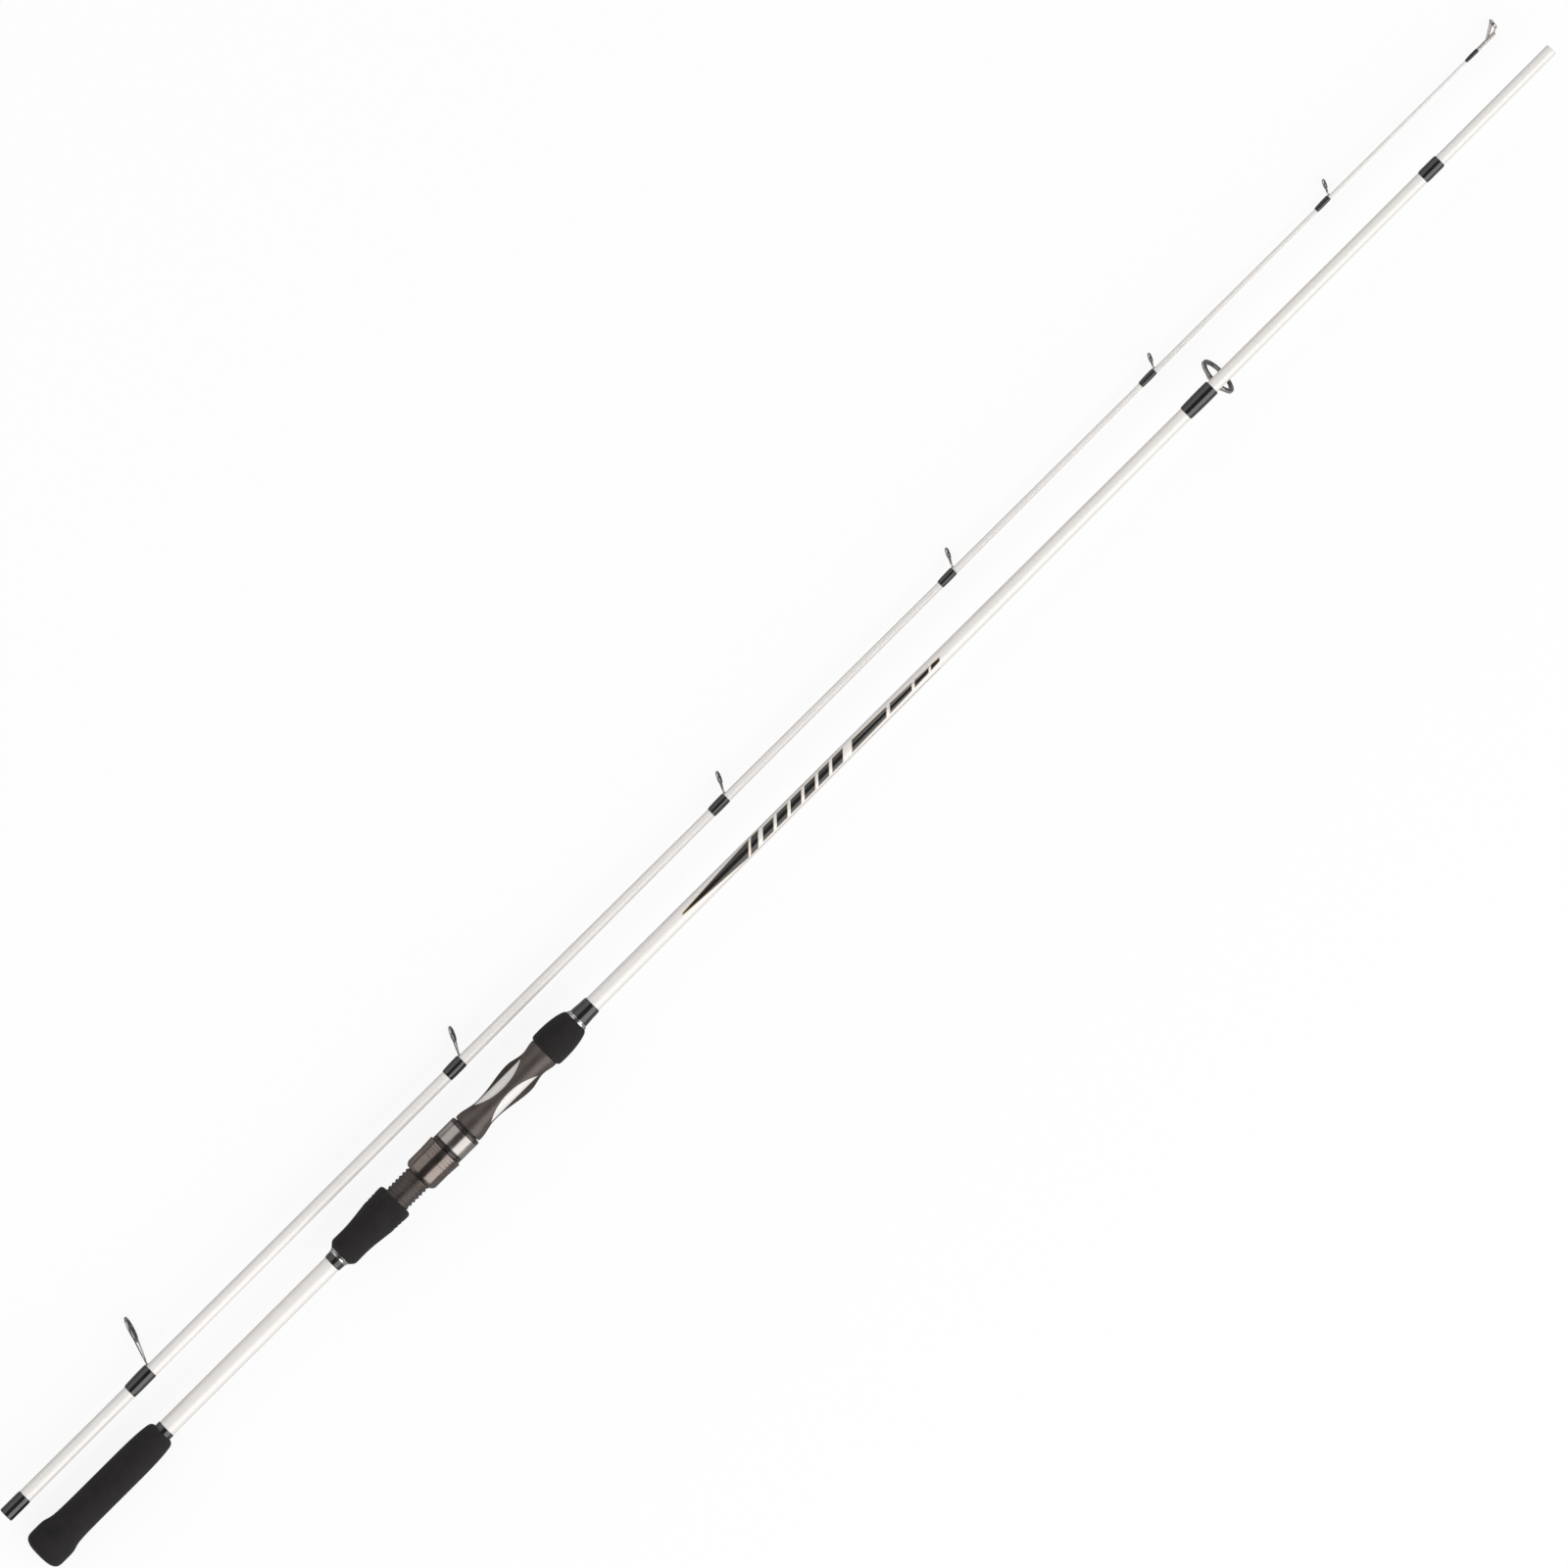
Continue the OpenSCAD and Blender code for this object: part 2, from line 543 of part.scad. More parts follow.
module seat_body() turned(concat(
    [[0, tail_at], [root_r, tail_at]],
    [for (i = [0:ring_count - 1], p = thread_ring(thread_at + i * thread_pitch)) p],
    [[root_r, body_at], [shoulder_ring_d / 2 - 0.5, body_at], [shoulder_ring_d / 2, body_at + 0.6]],
    eased([body_at + 1.4, shoulder_ring_d / 2], [body_at + window_at + 2.5, waist_d / 2]),
    eased([body_at + window_at + 5, waist_d / 2], [swell_at, swell_d / 2]),
    eased([swell_at + 1, swell_d / 2], [neck_at, neck_d / 2], 6),
    eased([neck_at + 1, neck_d / 2], [fore_at - 1, collar_front_d / 2], 6),
    [[collar_front_d / 2, fore_at - glue], [nose_tube_d / 2, fore_at - glue]],
    [[nose_tube_d / 2, nose_at], [0, nose_at]]
));
// each window is cut down to the middle by a round cutter that leaves the bridge between them
module window_cut(side) {
    sag = bore_r - bridge_w / 2;
    cut_r = (pow(window_len / 2, 2) + pow(sag, 2)) / (2 * sag);
    translate([window_mid, side * (bridge_w / 2 + cut_r), 0]) cylinder(h = swell_d, r = cut_r, $fn = 180);
}
module fixed_hood_liner() color("dimgray") lay_butt()
    prism(fore_at - fixed_hood_out + 0.6, fore_at - fixed_hood_out + pocket_len - glue)
        pocket_lining(pocket_top, pocket_floor);
module pocket_lining(top, floor) difference() {
    polygon(rounded_box(pocket_w + 2 * (liner_t - glue), -top - 0.8, -floor - liner_t + glue, 2.5));
    polygon(rounded_box(pocket_w, -top, -floor, 2.2));
}

// ---- nut and hood: the nut turns and the hood slides with it ----
ring_at = hood_at + 1;
module lock_nut() color("#4a413c") lay_butt() difference() {
    turned(concat(
        [[slide_r, nut_at], [nut_d / 2 - 0.8, nut_at], [nut_d / 2, nut_at + 1.2]],
        [[nut_d / 2, nut_front - nut_rib_len]],
        [for (i = [0:3]) let (x = nut_front - nut_rib_len + 0.9 + i * (nut_rib_len - 2.4) / 4,
            r = mix(nut_d / 2, nut_rib_d / 2, min(1, 0.4 + i * 0.2)))
            each [[r, x], [r, x + 1.1], [r - 0.3, x + 1.3], [r - 0.3, x + 1.5]]],
        [[nut_rib_d / 2, nut_front - 1.2], [nut_rib_d / 2 - 0.8, nut_front], [nut_neck_r, nut_front]],
        [[nut_neck_r, hood_at + neck_len - washer_len], [slide_r, hood_at + neck_len - washer_len]]
    ));
    difference() {
        bar(ring_at - run, ring_at + ring_len + run, crest_r + 3, crest_r + 3);
        bar(ring_at - 1, ring_at + ring_len + 1, ring_in_r - glue, ring_in_r - glue);
    }
}
module thrust_washer() color("#2a2624") lay_butt() turned([
    [nut_neck_r + run, hood_at - washer_len], [hood_d / 2 + 0.05, hood_at - washer_len],
    [hood_d / 2 + 0.05, hood_at - glue], [nut_neck_r + run, hood_at - glue]
]);
module retaining_ring() color("silver") lay_butt() difference() {
    bar(ring_at, ring_at + ring_len, ring_out_r, ring_out_r);
    bar(ring_at - 1, ring_at + ring_len + 1, ring_in_r, ring_in_r);
    slab(ring_at - 1, ring_at + ring_len + 1, 3, 0, ring_out_r + 1);
}
hood_front = hood_at + hood_len;
cover_at = hood_at + 1.1;
cover_end = hood_front - 2.4;
module hood_outline(grow) polygon(rounded_box(pocket_w + 2 * (liner_t + hood_wall + grow), 0,
    -slide_r - pocket_h - liner_t - hood_wall - grow, 3.6));
module sliding_hood() color("#3a3431") lay_butt() difference() {
    union() {
        turned([
            [0, hood_at], [hood_d / 2, hood_at], [hood_d / 2, cover_at - glue],
            [hood_shell_r, cover_at - glue], [hood_shell_r, cover_end + glue],
            [hood_d / 2 + 0.05, cover_end + glue], [hood_d / 2 + 0.05, hood_front - 0.4],
            [hood_d / 2 - 0.4, hood_front], [0, hood_front]
        ]);
        prism(hood_at, hood_front) hood_outline(0);
    }
    difference() {
        bar(hood_at - 1, hood_front + 1, slide_r, slide_r);
        slab(hood_at + neck_len + 1, hood_front + 2, keyway_w - 2 * run, crest_r - 0.7, crest_r + 1);
    }
    bar(hood_at - 1, hood_at + neck_len, nut_neck_r + 0.1, nut_neck_r + 0.1);
    bar(ring_at - glue, ring_at + ring_len + glue, ring_out_r + glue, ring_out_r + glue);
    prism(hood_at + 2.5, hood_front + 1)
        polygon(rounded_box(pocket_w + 2 * liner_t, 0, -slide_r - pocket_h - liner_t, 2.6));
}
module hood_cover() color("#8b827c") lay_butt() difference() {
    bar(cover_at, cover_end, hood_d / 2, hood_d / 2);
    bar(cover_at - 1, cover_end + 1, hood_d / 2 - cover_t, hood_d / 2 - cover_t);
    prism(cover_at - 1, cover_end + 1) translate([0, 1]) hood_outline(glue);
}
module hood_liner() color("dimgray") lay_butt() prism(hood_at + 2.6, hood_front - 0.5)
    pocket_lining(slide_r, slide_r + pocket_h);

module foregrip() color("#242122") lay_butt() difference() {
    turned(concat(
        [[0, fore_at], [collar_front_d / 2 + 0.3, fore_at]],
        arc(fore_at + 2.2, fore_grip_d / 2 - 1.8, 1.8, 165, 105, 3),
        [[fore_grip_d / 2, fore_at + 6.5], [fore_grip_d / 2, fore_at + 8.5]],
        [for (i = [1:8]) let (t = i / 8)
            [mix(fore_grip_d / 2, fore_nose_d / 2, t * t), mix(fore_at + 8.5, fore_trim_at - 0.4, t)]],
        [[fore_trim_d / 2 - 0.3, fore_trim_at], [0, fore_trim_at]]
    ));
    bar(fore_at - 1, nose_at + glue, nose_tube_d / 2 + glue, nose_tube_d / 2 + glue);
    butt_room();
    prism(fore_at - 1, fore_at + pocket_len - fixed_hood_out + hood_wall + 2 * run)
        polygon(rounded_box(pocket_w + 2 * (liner_t + hood_wall + run), 0,
            -pocket_floor - liner_t - hood_wall - run, 3.6));
}
module foregrip_trim_ring() color("silver") lay_butt() difference() {
    turned(concat([[0, fore_trim_at + glue], [fore_trim_d / 2, fore_trim_at + glue]],
        eased([fore_trim_at + 0.8, fore_trim_d / 2 - 0.1],
            [fore_wrap_at, butt_r(fore_wrap_at) + fore_wrap_t], 4),
        [[0, fore_wrap_at]]));
    butt_room();
}
module foregrip_wrap() color("#111112") lay_butt() {
    end = fore_wrap_at + fore_wrap_len;
    r = butt_r(end);
    difference() {
        turned([
            [0, fore_wrap_at + glue], [r + fore_wrap_t, fore_wrap_at + glue],
            [r + fore_wrap_t * 0.8, fore_wrap_at + 3], [r + fore_wrap_t * 0.7, end - 2],
            [r + fore_wrap_t * 0.3, end], [0, end]
        ]);
        butt_room();
    }
}

strip_foot = [3.8, 0.8];
strip_holder_wall = 0.75;
strip_r = butt_r(strip_at);
strip_drop = 0.3;
strip_stand = (strip_reach - strip_r - strip_drop) / cos(strip_lean);
module strip_wrap() color("#111112") lay_butt(strip_roll) difference() {
    foot_winding(strip_at, strip_at + strip_wrap_len, strip_r, 1.5, 0.4);
    butt_room();
    foot_slot(strip_at + 1.6, strip_base, strip_r, strip_foot[0], strip_foot[1]);
}
module strip_frame() color("#8f8b86") lay_butt(strip_roll) {
    foot(strip_at + 1.7, strip_base + 1, strip_r, strip_foot[0], strip_foot[1]);
    stand(strip_base, strip_r + strip_drop, strip_lean)
        sheet_frame(strip_stand, strip_ring_r, strip_foot[0] + 1, 1.7, 1, strip_holder_t,
            strip_ring_r - strip_holder_wall);
}
module strip_ring() color("#4a4a4c") lay_butt(strip_roll)
    stand(strip_base, strip_r + strip_drop, strip_lean)
    translate([0, strip_stand, 0]) ceramic_ring(strip_ring_r - strip_holder_wall - glue, strip_hole_r, 2.6);
module ferrule_stop_wrap() color("#111112") lay_butt()
    winding(stop_at, spigot_at, shoulder_d / 2, shoulder_d / 2, 0.5);

// ---- tip section ----
module tip_blank() color("whitesmoke") lay_tip() turned(concat(
    forward(tip_stations),
    [[0, tip_len], [0, tip_hollow]],
    [[tip_r(tip_hollow) - tip_wall, tip_hollow], [tip_d_1 / 2 - tip_wall, tip_1_at]],
    [[socket_r - 0.3, socket_len], [socket_r, socket_len], [socket_r, 0.3], [socket_r + 0.3, 0]]
));
module ferrule_wrap() color("#111112") lay_tip() difference() {
    turned([
        [0, -0.6], [tip_rear_r + 0.1, -0.6], [tip_rear_r + ferrule_t - 0.1, -0.2],
        [tip_rear_r + ferrule_t, 1], [tip_rear_r + ferrule_t, ferrule_len - 2],
        [tip_rear_r + ferrule_t / 2, ferrule_len], [0, ferrule_len]
    ]);
    bar(-1, ferrule_len / 2, socket_r + 0.35, socket_r + 0.35);
    difference() {
        tip_room();
        bar(-2, -glue, tip_rear_d, tip_rear_d);
    }
}

guide_foot_w = [3.6, 2.6, 2.3, 2, 1.8, 1.8];
guide_leg_w = [1.2, 0.9, 0.8, 0.7, 0.6, 0.6];
guide_over = [1.15, 0.95, 0.9, 0.9, 0.9, 0.95];
foot_t = 0.5;
holder_wall = 0.55;
foot_drop = 0.2;
function foot_r(i) = tip_r(guide_at[i]);
function guide_stand(i) = (guide_reach[i] - foot_r(i) - foot_drop) / cos(guide_lean[i]);
module guide_wrap(i) color("#111112") lay_tip() difference() {
    foot_winding(guide_at[i], guide_at[i] + guide_wrap_len[i], foot_r(i), guide_over[i], 0.35);
    tip_room();
    foot_slot(guide_at[i] + 1.6, guide_base[i] + 1, foot_r(i), guide_foot_w[i] * 0.6, foot_t);
}
module guide_frame(i) color("#8f8b86") lay_tip() {
    foot(guide_at[i] + 1.7, guide_base[i] + 0.8, foot_r(i), guide_foot_w[i] * 0.6, foot_t);
    stand(guide_base[i], foot_r(i) + foot_drop, guide_lean[i])
        sheet_frame(guide_stand(i), guide_ring_r[i], guide_foot_w[i], guide_leg_w[i], 0.7, holder_t,
            guide_ring_r[i] - holder_wall);
}
module guide_ring(i) color("#4a4a4c") lay_tip()
    stand(guide_base[i], foot_r(i) + foot_drop, guide_lean[i]) translate([0, guide_stand(i), 0])
        ceramic_ring(guide_ring_r[i] - holder_wall - glue, guide_hole_r[i], 1.9);

module guide_2_wrap() guide_wrap(0);
module guide_2_frame() guide_frame(0);
module guide_2_ring() guide_ring(0);
module guide_3_wrap() guide_wrap(1);
module guide_3_frame() guide_frame(1);
module guide_3_ring() guide_ring(1);
module guide_4_wrap() guide_wrap(2);
module guide_4_frame() guide_frame(2);
module guide_4_ring() guide_ring(2);
module guide_5_wrap() guide_wrap(3);
module guide_5_frame() guide_frame(3);
module guide_5_ring() guide_ring(3);
module guide_6_wrap() guide_wrap(4);
module guide_6_frame() guide_frame(4);
module guide_6_ring() guide_ring(4);
module guide_7_wrap() guide_wrap(5);
module guide_7_frame() guide_frame(5);
module guide_7_ring() guide_ring(5);

tt_tube_r = tt_tube_d / 2;
tt_tube_at = tt_wrap_at + 4;
tt_tube_end = tt_wrap_end + tt_tube_out;
module tiptop_wrap() color("#111112") lay_tip() difference() {
    turned([
        [0, tt_wrap_at], [tip_r(tt_wrap_at) + 0.2, tt_wrap_at], [tt_tube_r + 0.2, tt_tube_at - 1],
        [tt_tube_r + 0.25, tt_wrap_end - 0.6], [tt_tube_r + 0.12, tt_wrap_end], [0, tt_wrap_end]
    ]);
    tip_room();
    bar(tt_tube_at - glue, tt_wrap_end + 1, tt_tube_r + glue, tt_tube_r + glue);
}
// the ring stands off the tube on two side legs and a short neck
module tt_place() translate([tt_ring_at, 0, -tt_reach]) rotate([0, 90 - tt_lean, 0]) children();
module tiptop_frame() color("#8f8b86") lay_tip() difference() {
    union() {
        bar(tt_tube_at, tt_tube_end, tt_tube_r, tt_tube_r);
        for (side = [-1, 1])
            strut([tt_tube_end - 7.6, side * 0.4, -0.5],
                [tt_ring_at, side * (tt_ring_r - 1), -tt_reach - 1.8], 0.4);
        strut([tt_tube_end - 1, 0, -0.3], [tt_ring_at, 0, -tt_reach + tt_ring_r - 0.3], 0.5);
        tt_place() cylinder(h = holder_t, r = tt_ring_r, center = true, $fn = round_fn);
    }
    tt_place() cylinder(h = 6, r = tt_ring_r - holder_wall, center = true, $fn = round_fn);
    tip_room();
}
module tiptop_ring() color("#4a4a4c") lay_tip() tt_place()
    ceramic_ring(tt_ring_r - holder_wall - glue, tt_hole_r, 1.8);

butt_blank();
spigot_plug();
rear_grip();
rear_grip_collar();
seat_band();
seat_trim_ring();
seat_rear_grip();
rear_arbor();
window_sleeve();
front_arbor();
reel_seat();
fixed_hood_liner();
lock_nut();
thrust_washer();
retaining_ring();
sliding_hood();
hood_cover();
hood_liner();
foregrip();
foregrip_trim_ring();
foregrip_wrap();
strip_wrap();
strip_frame();
strip_ring();
ferrule_stop_wrap();
tip_blank();
ferrule_wrap();
guide_2_wrap();
guide_2_frame();
guide_2_ring();
guide_3_wrap();
guide_3_frame();
guide_3_ring();
guide_4_wrap();
guide_4_frame();
guide_4_ring();
guide_5_wrap();
guide_5_frame();
guide_5_ring();
guide_6_wrap();
guide_6_frame();
guide_6_ring();
guide_7_wrap();
guide_7_frame();
guide_7_ring();
tiptop_wrap();
tiptop_frame();
tiptop_ring();
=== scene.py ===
import math

import bmesh
import bpy
from mathutils import Matrix, Vector


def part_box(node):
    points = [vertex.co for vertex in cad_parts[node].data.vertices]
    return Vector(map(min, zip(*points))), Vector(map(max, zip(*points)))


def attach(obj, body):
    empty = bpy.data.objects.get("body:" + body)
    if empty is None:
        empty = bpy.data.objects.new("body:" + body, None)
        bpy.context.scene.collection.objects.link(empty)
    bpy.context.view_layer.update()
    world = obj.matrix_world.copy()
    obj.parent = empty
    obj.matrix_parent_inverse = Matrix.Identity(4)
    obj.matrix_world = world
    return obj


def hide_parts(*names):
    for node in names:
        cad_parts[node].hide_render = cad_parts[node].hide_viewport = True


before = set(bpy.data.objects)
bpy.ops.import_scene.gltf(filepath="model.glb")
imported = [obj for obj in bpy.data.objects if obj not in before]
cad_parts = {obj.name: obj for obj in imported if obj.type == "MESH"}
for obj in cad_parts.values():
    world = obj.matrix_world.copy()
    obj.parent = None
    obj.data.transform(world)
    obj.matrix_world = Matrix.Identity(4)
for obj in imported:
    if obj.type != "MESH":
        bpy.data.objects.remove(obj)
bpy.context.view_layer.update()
scene = bpy.context.scene
print("rod frame loaded,", len(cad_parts), "nodes")


def middleOf(node):
    low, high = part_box(node)
    return (low + high) / 2


def layFrom(cols, origin, scale=1.0):
    return Matrix([[c[i] * scale for c in cols] + [origin[i]] for i in range(3)] + [[0, 0, 0, 1]])


def layAlong(rearNode, rearAt, frontNode, frontAt, guideWay):
    # each section is drawn in its own millimetres: x from its rear end forward, z away from the guides
    rear, front = middleOf(rearNode), middleOf(frontNode)
    along = (front - rear).normalized()
    scale = (front - rear).length / (frontAt - rearAt)
    start = rear - along * rearAt * scale
    down = guideWay - start if guideWay.length < 10 else guideWay
    down = (down - along * down.dot(along)).normalized()
    return layFrom((along, along.cross(down), -down), start, 0.001)


buttLay = layAlong("seat_band", 246.25, "ferrule_stop_wrap", 1156.1, Vector((0, 0, -100)))
stripLay = layAlong("seat_band", 246.25, "ferrule_stop_wrap", 1156.1, middleOf("strip_ring"))
tipLay = layAlong("ferrule_wrap", 7.5, "tiptop_wrap", 1217.4, middleOf("guide_2_ring"))


# every shape is a dictionary of points, faces and each face's places on the flat map

def turned(profile, sides=96, closed=False):
    # profile holds (x, radius) or (x, radius, drop): drop moves that ring's middle towards the guides
    points, rings, faces, maps = [], [], [], []
    angles = [2 * math.pi * k / sides - math.pi for k in range(sides + 1)]
    for x, r, *sunk in profile:
        drop = sunk[0] if sunk else 0.0
        first = len(points)
        if r < 1e-6:
            points.append((x, 0.0, -drop))
            rings.append([first] * sides)
        else:
            points += [(x, r * math.sin(a), r * math.cos(a) - drop) for a in angles[:-1]]
            rings.append(list(range(first, first + sides)))
    order = list(range(len(profile)))
    for i, j in zip(order, order[1:] + ([order[0]] if closed else [])):
        a, b = rings[i], rings[j]
        if a[0] == a[-1] and b[0] == b[-1]:
            continue
        for k in range(sides):
            face, uv = [], []
            for ring, spot, step in ((a, i, k), (a, i, k + 1), (b, j, k + 1), (b, j, k)):
                index = ring[step % sides]
                if index not in face:
                    face.append(index)
                    uv.append((profile[spot][0], angles[step] * max(profile[spot][1], 0.2)))
            faces.append(face)
            maps.append(uv)
    return {"points": points, "faces": faces, "maps": maps}


def skinned(rings, mapAt, closed=False, endAt=None):
    # faces between rings of as many points each; mapAt(ring, step) gives a corner's place on the flat map,
    # and endAt does so for the two end faces where they differ
    count, last = len(rings[0]), len(rings) - 1
    faces, maps = [], []
    for i in range(len(rings) if closed else last):
        j = (i + 1) % len(rings)
        for k in range(count):
            n = (k + 1) % count
            faces.append([i * count + k, i * count + n, j * count + n, j * count + k])
            maps.append([mapAt(i, k), mapAt(i, k + 1), mapAt(i + 1, k + 1), mapAt(i + 1, k)])
    if not closed:
        for i in (0, last):
            faces.append([i * count + k for k in range(count)])
            maps.append([(endAt or mapAt)(i, k) for k in range(count)])
    return {"points": [p for ring in rings for p in ring], "faces": faces, "maps": maps}


def swept(path, wide, widths, thicks, power=3.0, corners=16):
    # a bar with a rounded section, carried along path; wide is the direction of its width
    rings, lengths, far = [], [], 0.0
    wide = Vector(wide).normalized()
    path = [Vector(p) for p in path]
    for i, p in enumerate(path):
        if i:
            far += (p - path[i - 1]).length
        lengths.append(far)
        before, after = path[max(i - 1, 0)], path[min(i + 1, len(path) - 1)]
        flow = (after - before).normalized()
        across = (wide - flow * wide.dot(flow)).normalized()
        thin = flow.cross(across)
        ring = []
        for k in range(corners):
            a = 2 * math.pi * (k + 0.5) / corners
            c, s = math.cos(a), math.sin(a)
            u = math.copysign(abs(c) ** (2 / power), c) * widths[i] / 2
            v = math.copysign(abs(s) ** (2 / power), s) * thicks[i] / 2
            ring.append(tuple(p + across * u + thin * v))
        rings.append(ring)
    return skinned(rings, lambda i, k: (lengths[i], k * 0.2), endAt=lambda i, k: (0, k * 0.2))


def lofted(outlines):
    # closed outlines of (y, z) at stations along x, all with as many points
    rings = [[(x, y, z) for y, z in outline] for x, outline in outlines]
    return skinned(rings, lambda i, k: rings[i][k % len(rings[i])][:2])


def placed(shape, matrix):
    return {**shape, "points": [tuple(matrix @ Vector(p)) for p in shape["points"]]}


def between(p, q, start, end, t):
    return p * ((end - t) / (end - start)) + q * ((t - start) / (end - start))


def curved(spots, steps=5):
    # a smooth run through (x, radius) spots that never swells past its widest spot
    widest = max(r for _, r in spots)
    narrow = min(r for _, r in spots)
    low, high = spots[0][0], spots[-1][0]
    run = []
    for i in range(len(spots) - 1):
        p0, p1, p2, p3 = [Vector(spots[min(max(i + step, 0), len(spots) - 1)]) for step in (-1, 0, 1, 2)]
        t0, t1 = 0.0, max((p1 - p0).length, 1e-4) ** 0.5
        t2 = t1 + max((p2 - p1).length, 1e-4) ** 0.5
        t3 = t2 + max((p3 - p2).length, 1e-4) ** 0.5
        for s in range(steps):
            t = t1 + (t2 - t1) * s / steps
            a1 = between(p0, p1, t0, t1, t) if i else p1
            a2 = between(p1, p2, t1, t2, t)
            a3 = between(p2, p3, t2, t3, t) if i < len(spots) - 2 else p2
            spot = between(between(a1, a2, t0, t2, t), between(a2, a3, t1, t3, t), t1, t2, t)
            run.append((min(max(spot.x, low), high), min(max(spot.y, narrow), widest)))
    return run + [tuple(spots[-1])]


def eased(a, b, steps):
    # an S-shaped run between two (x, radius) spots
    run = []
    for i in range(steps + 1):
        t = i / steps
        s = t * t * (3 - 2 * t)
        run.append((a[0] + (b[0] - a[0]) * t, a[1] + (b[1] - a[1]) * s))
    return run


def radiusAt(stations, x):
    if x <= stations[0][0]:
        return stations[0][1]
    for (x0, r0), (x1, r1) in zip(stations, stations[1:]):
        if x <= x1:
            return r0 + (r1 - r0) * (x - x0) / (x1 - x0)
    return stations[-1][1]


def tapered(stations, longest=20):
    # the stations of a blank with spots between them, without the last one
    run = []
    for (x0, r0), (x1, r1) in zip(stations, stations[1:]):
        steps = max(1, int((x1 - x0) / longest))
        run += [(x0 + (x1 - x0) * i / steps, r0 + (r1 - r0) * i / steps) for i in range(steps)]
    return run


def roundedEdge(x, r, size, start, end, steps=5):
    turns = [math.radians(start + (end - start) * i / steps) for i in range(steps + 1)]
    return [(x + size * math.cos(a), r + size * math.sin(a)) for a in turns]


def meshFrom(name, shapes, lay, sharpAngle):
    points, faces, maps = [], [], []
    for shape in shapes:
        shift = len(points)
        points += [lay @ Vector(p) for p in shape["points"]]
        faces += [[v + shift for v in face] for face in shape["faces"]]
        maps += [pair for uv in shape["maps"] for pair in uv]
    mesh = bpy.data.meshes.new(name)
    mesh.from_pydata(points, [], faces)
    layer = mesh.uv_layers.new(name="rodMap")
    for corner, pair in enumerate(maps):
        layer.data[corner].uv = pair
    smoothMesh(mesh, sharpAngle)
    return mesh


def smoothMesh(mesh, sharpAngle):
    bm = bmesh.new()
    bm.from_mesh(mesh)
    bmesh.ops.remove_doubles(bm, verts=bm.verts, dist=1e-7)
    bmesh.ops.recalc_face_normals(bm, faces=bm.faces)
    for face in bm.faces:
        face.smooth = True
    for edge in bm.edges:
        if len(edge.link_faces) == 2:
            edge.smooth = edge.calc_face_angle() < math.radians(sharpAngle)
    bm.to_mesh(mesh)
    bm.free()
    mesh.update()


def linked(name, mesh):
    thing = bpy.data.objects.new(name, mesh)
    scene.collection.objects.link(thing)
    return thing


def addPiece(name, shapes, lay, body, finish, hides=(), sharpAngle=38):
    # shapes is a list of shapes, or a mesh that is laid in place already
    mesh = meshFrom(name, shapes, lay, sharpAngle) if isinstance(shapes, list) else shapes
    piece = linked(name, mesh)
    mesh.materials.clear()
    mesh.materials.append(finish)
    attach(piece, body)
    if hides:
        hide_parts(*hides)
    return piece


def carved(name, base, steps, lay, body, finish, slot, hides=(), soften=None, sharpAngle=38):
    # booleans run in millimetres, where the exact solver keeps its detail; the result is then laid in place
    level = Matrix.Identity(4)
    made = [linked(name + "Base", meshFrom(name + "Base", [base], level, 30))]
    for i, (operation, shape) in enumerate(steps):
        label = name + "Tool%d" % i
        made.append(linked(label, meshFrom(label, [shape], level, 30)))
        step = made[0].modifiers.new(label, "BOOLEAN")
        step.operation, step.solver, step.object = operation, "EXACT", made[-1]
    if soften:
        made[0].modifiers.new("weld", "WELD").merge_threshold = 0.004
        bevel = made[0].modifiers.new("soften", "BEVEL")
        bevel.width, bevel.segments = soften["width"], soften["segments"]
        bevel.limit_method, bevel.angle_limit = "ANGLE", math.radians(soften["angle"])
    bpy.context.view_layer.update()
    mesh = bpy.data.meshes.new_from_object(made[0].evaluated_get(bpy.context.evaluated_depsgraph_get()))
    for thing in made:
        bpy.data.objects.remove(thing)
    mesh.transform(lay)
    mesh.name = name
    smoothMesh(mesh, sharpAngle)
    return addPiece(name, mesh, lay, body, finish, hides)


def joined(*shapes):
    return [("UNION", shape) for shape in shapes]


def cutAway(*shapes):
    return [("DIFFERENCE", shape) for shape in shapes]


def addNode(tree, kind, settings=None, values=None):
    made = tree.nodes.new(kind)
    for key, value in (settings or {}).items():
        setattr(made, key, value)
    for key, value in (values or {}).items():
        made.inputs[key].default_value = value
    return made


def feed(tree, target, value):
    # a socket is linked, a number is set, and a colour gets its fourth value
    if isinstance(value, bpy.types.NodeSocket):
        tree.links.new(value, target)
    else:
        target.default_value = (*value, 1) if isinstance(value, tuple) else value


def mathNode(tree, operation, *values):
    made = addNode(tree, "ShaderNodeMath", {"operation": operation})
    for i, value in enumerate(values):
        feed(tree, made.inputs[i], value)
    return made.outputs[0]


def mixColour(tree, share, under, over):
    made = addNode(tree, "ShaderNodeMix", {"data_type": "RGBA"})
    for i, value in ((0, share), (6, under), (7, over)):
        feed(tree, made.inputs[i], value)
    return made.outputs[2]


def ranged(tree, value, low, high, toLow=0.0, toHigh=1.0, kind="SMOOTHSTEP"):
    made = addNode(tree, "ShaderNodeMapRange", {"interpolation_type": kind},
                   {"From Min": low, "From Max": high, "To Min": toLow, "To Max": toHigh})
    tree.links.new(value, made.inputs["Value"])
    return made.outputs["Result"]


def splitMap(tree, source):
    made = addNode(tree, "ShaderNodeSeparateXYZ")
    tree.links.new(source, made.inputs[0])
    return made.outputs


def useGroup(tree, group, values):
    made = addNode(tree, "ShaderNodeGroup", {"node_tree": group})
    for key, value in values.items():
        feed(tree, made.inputs[key], value)
    return made.outputs


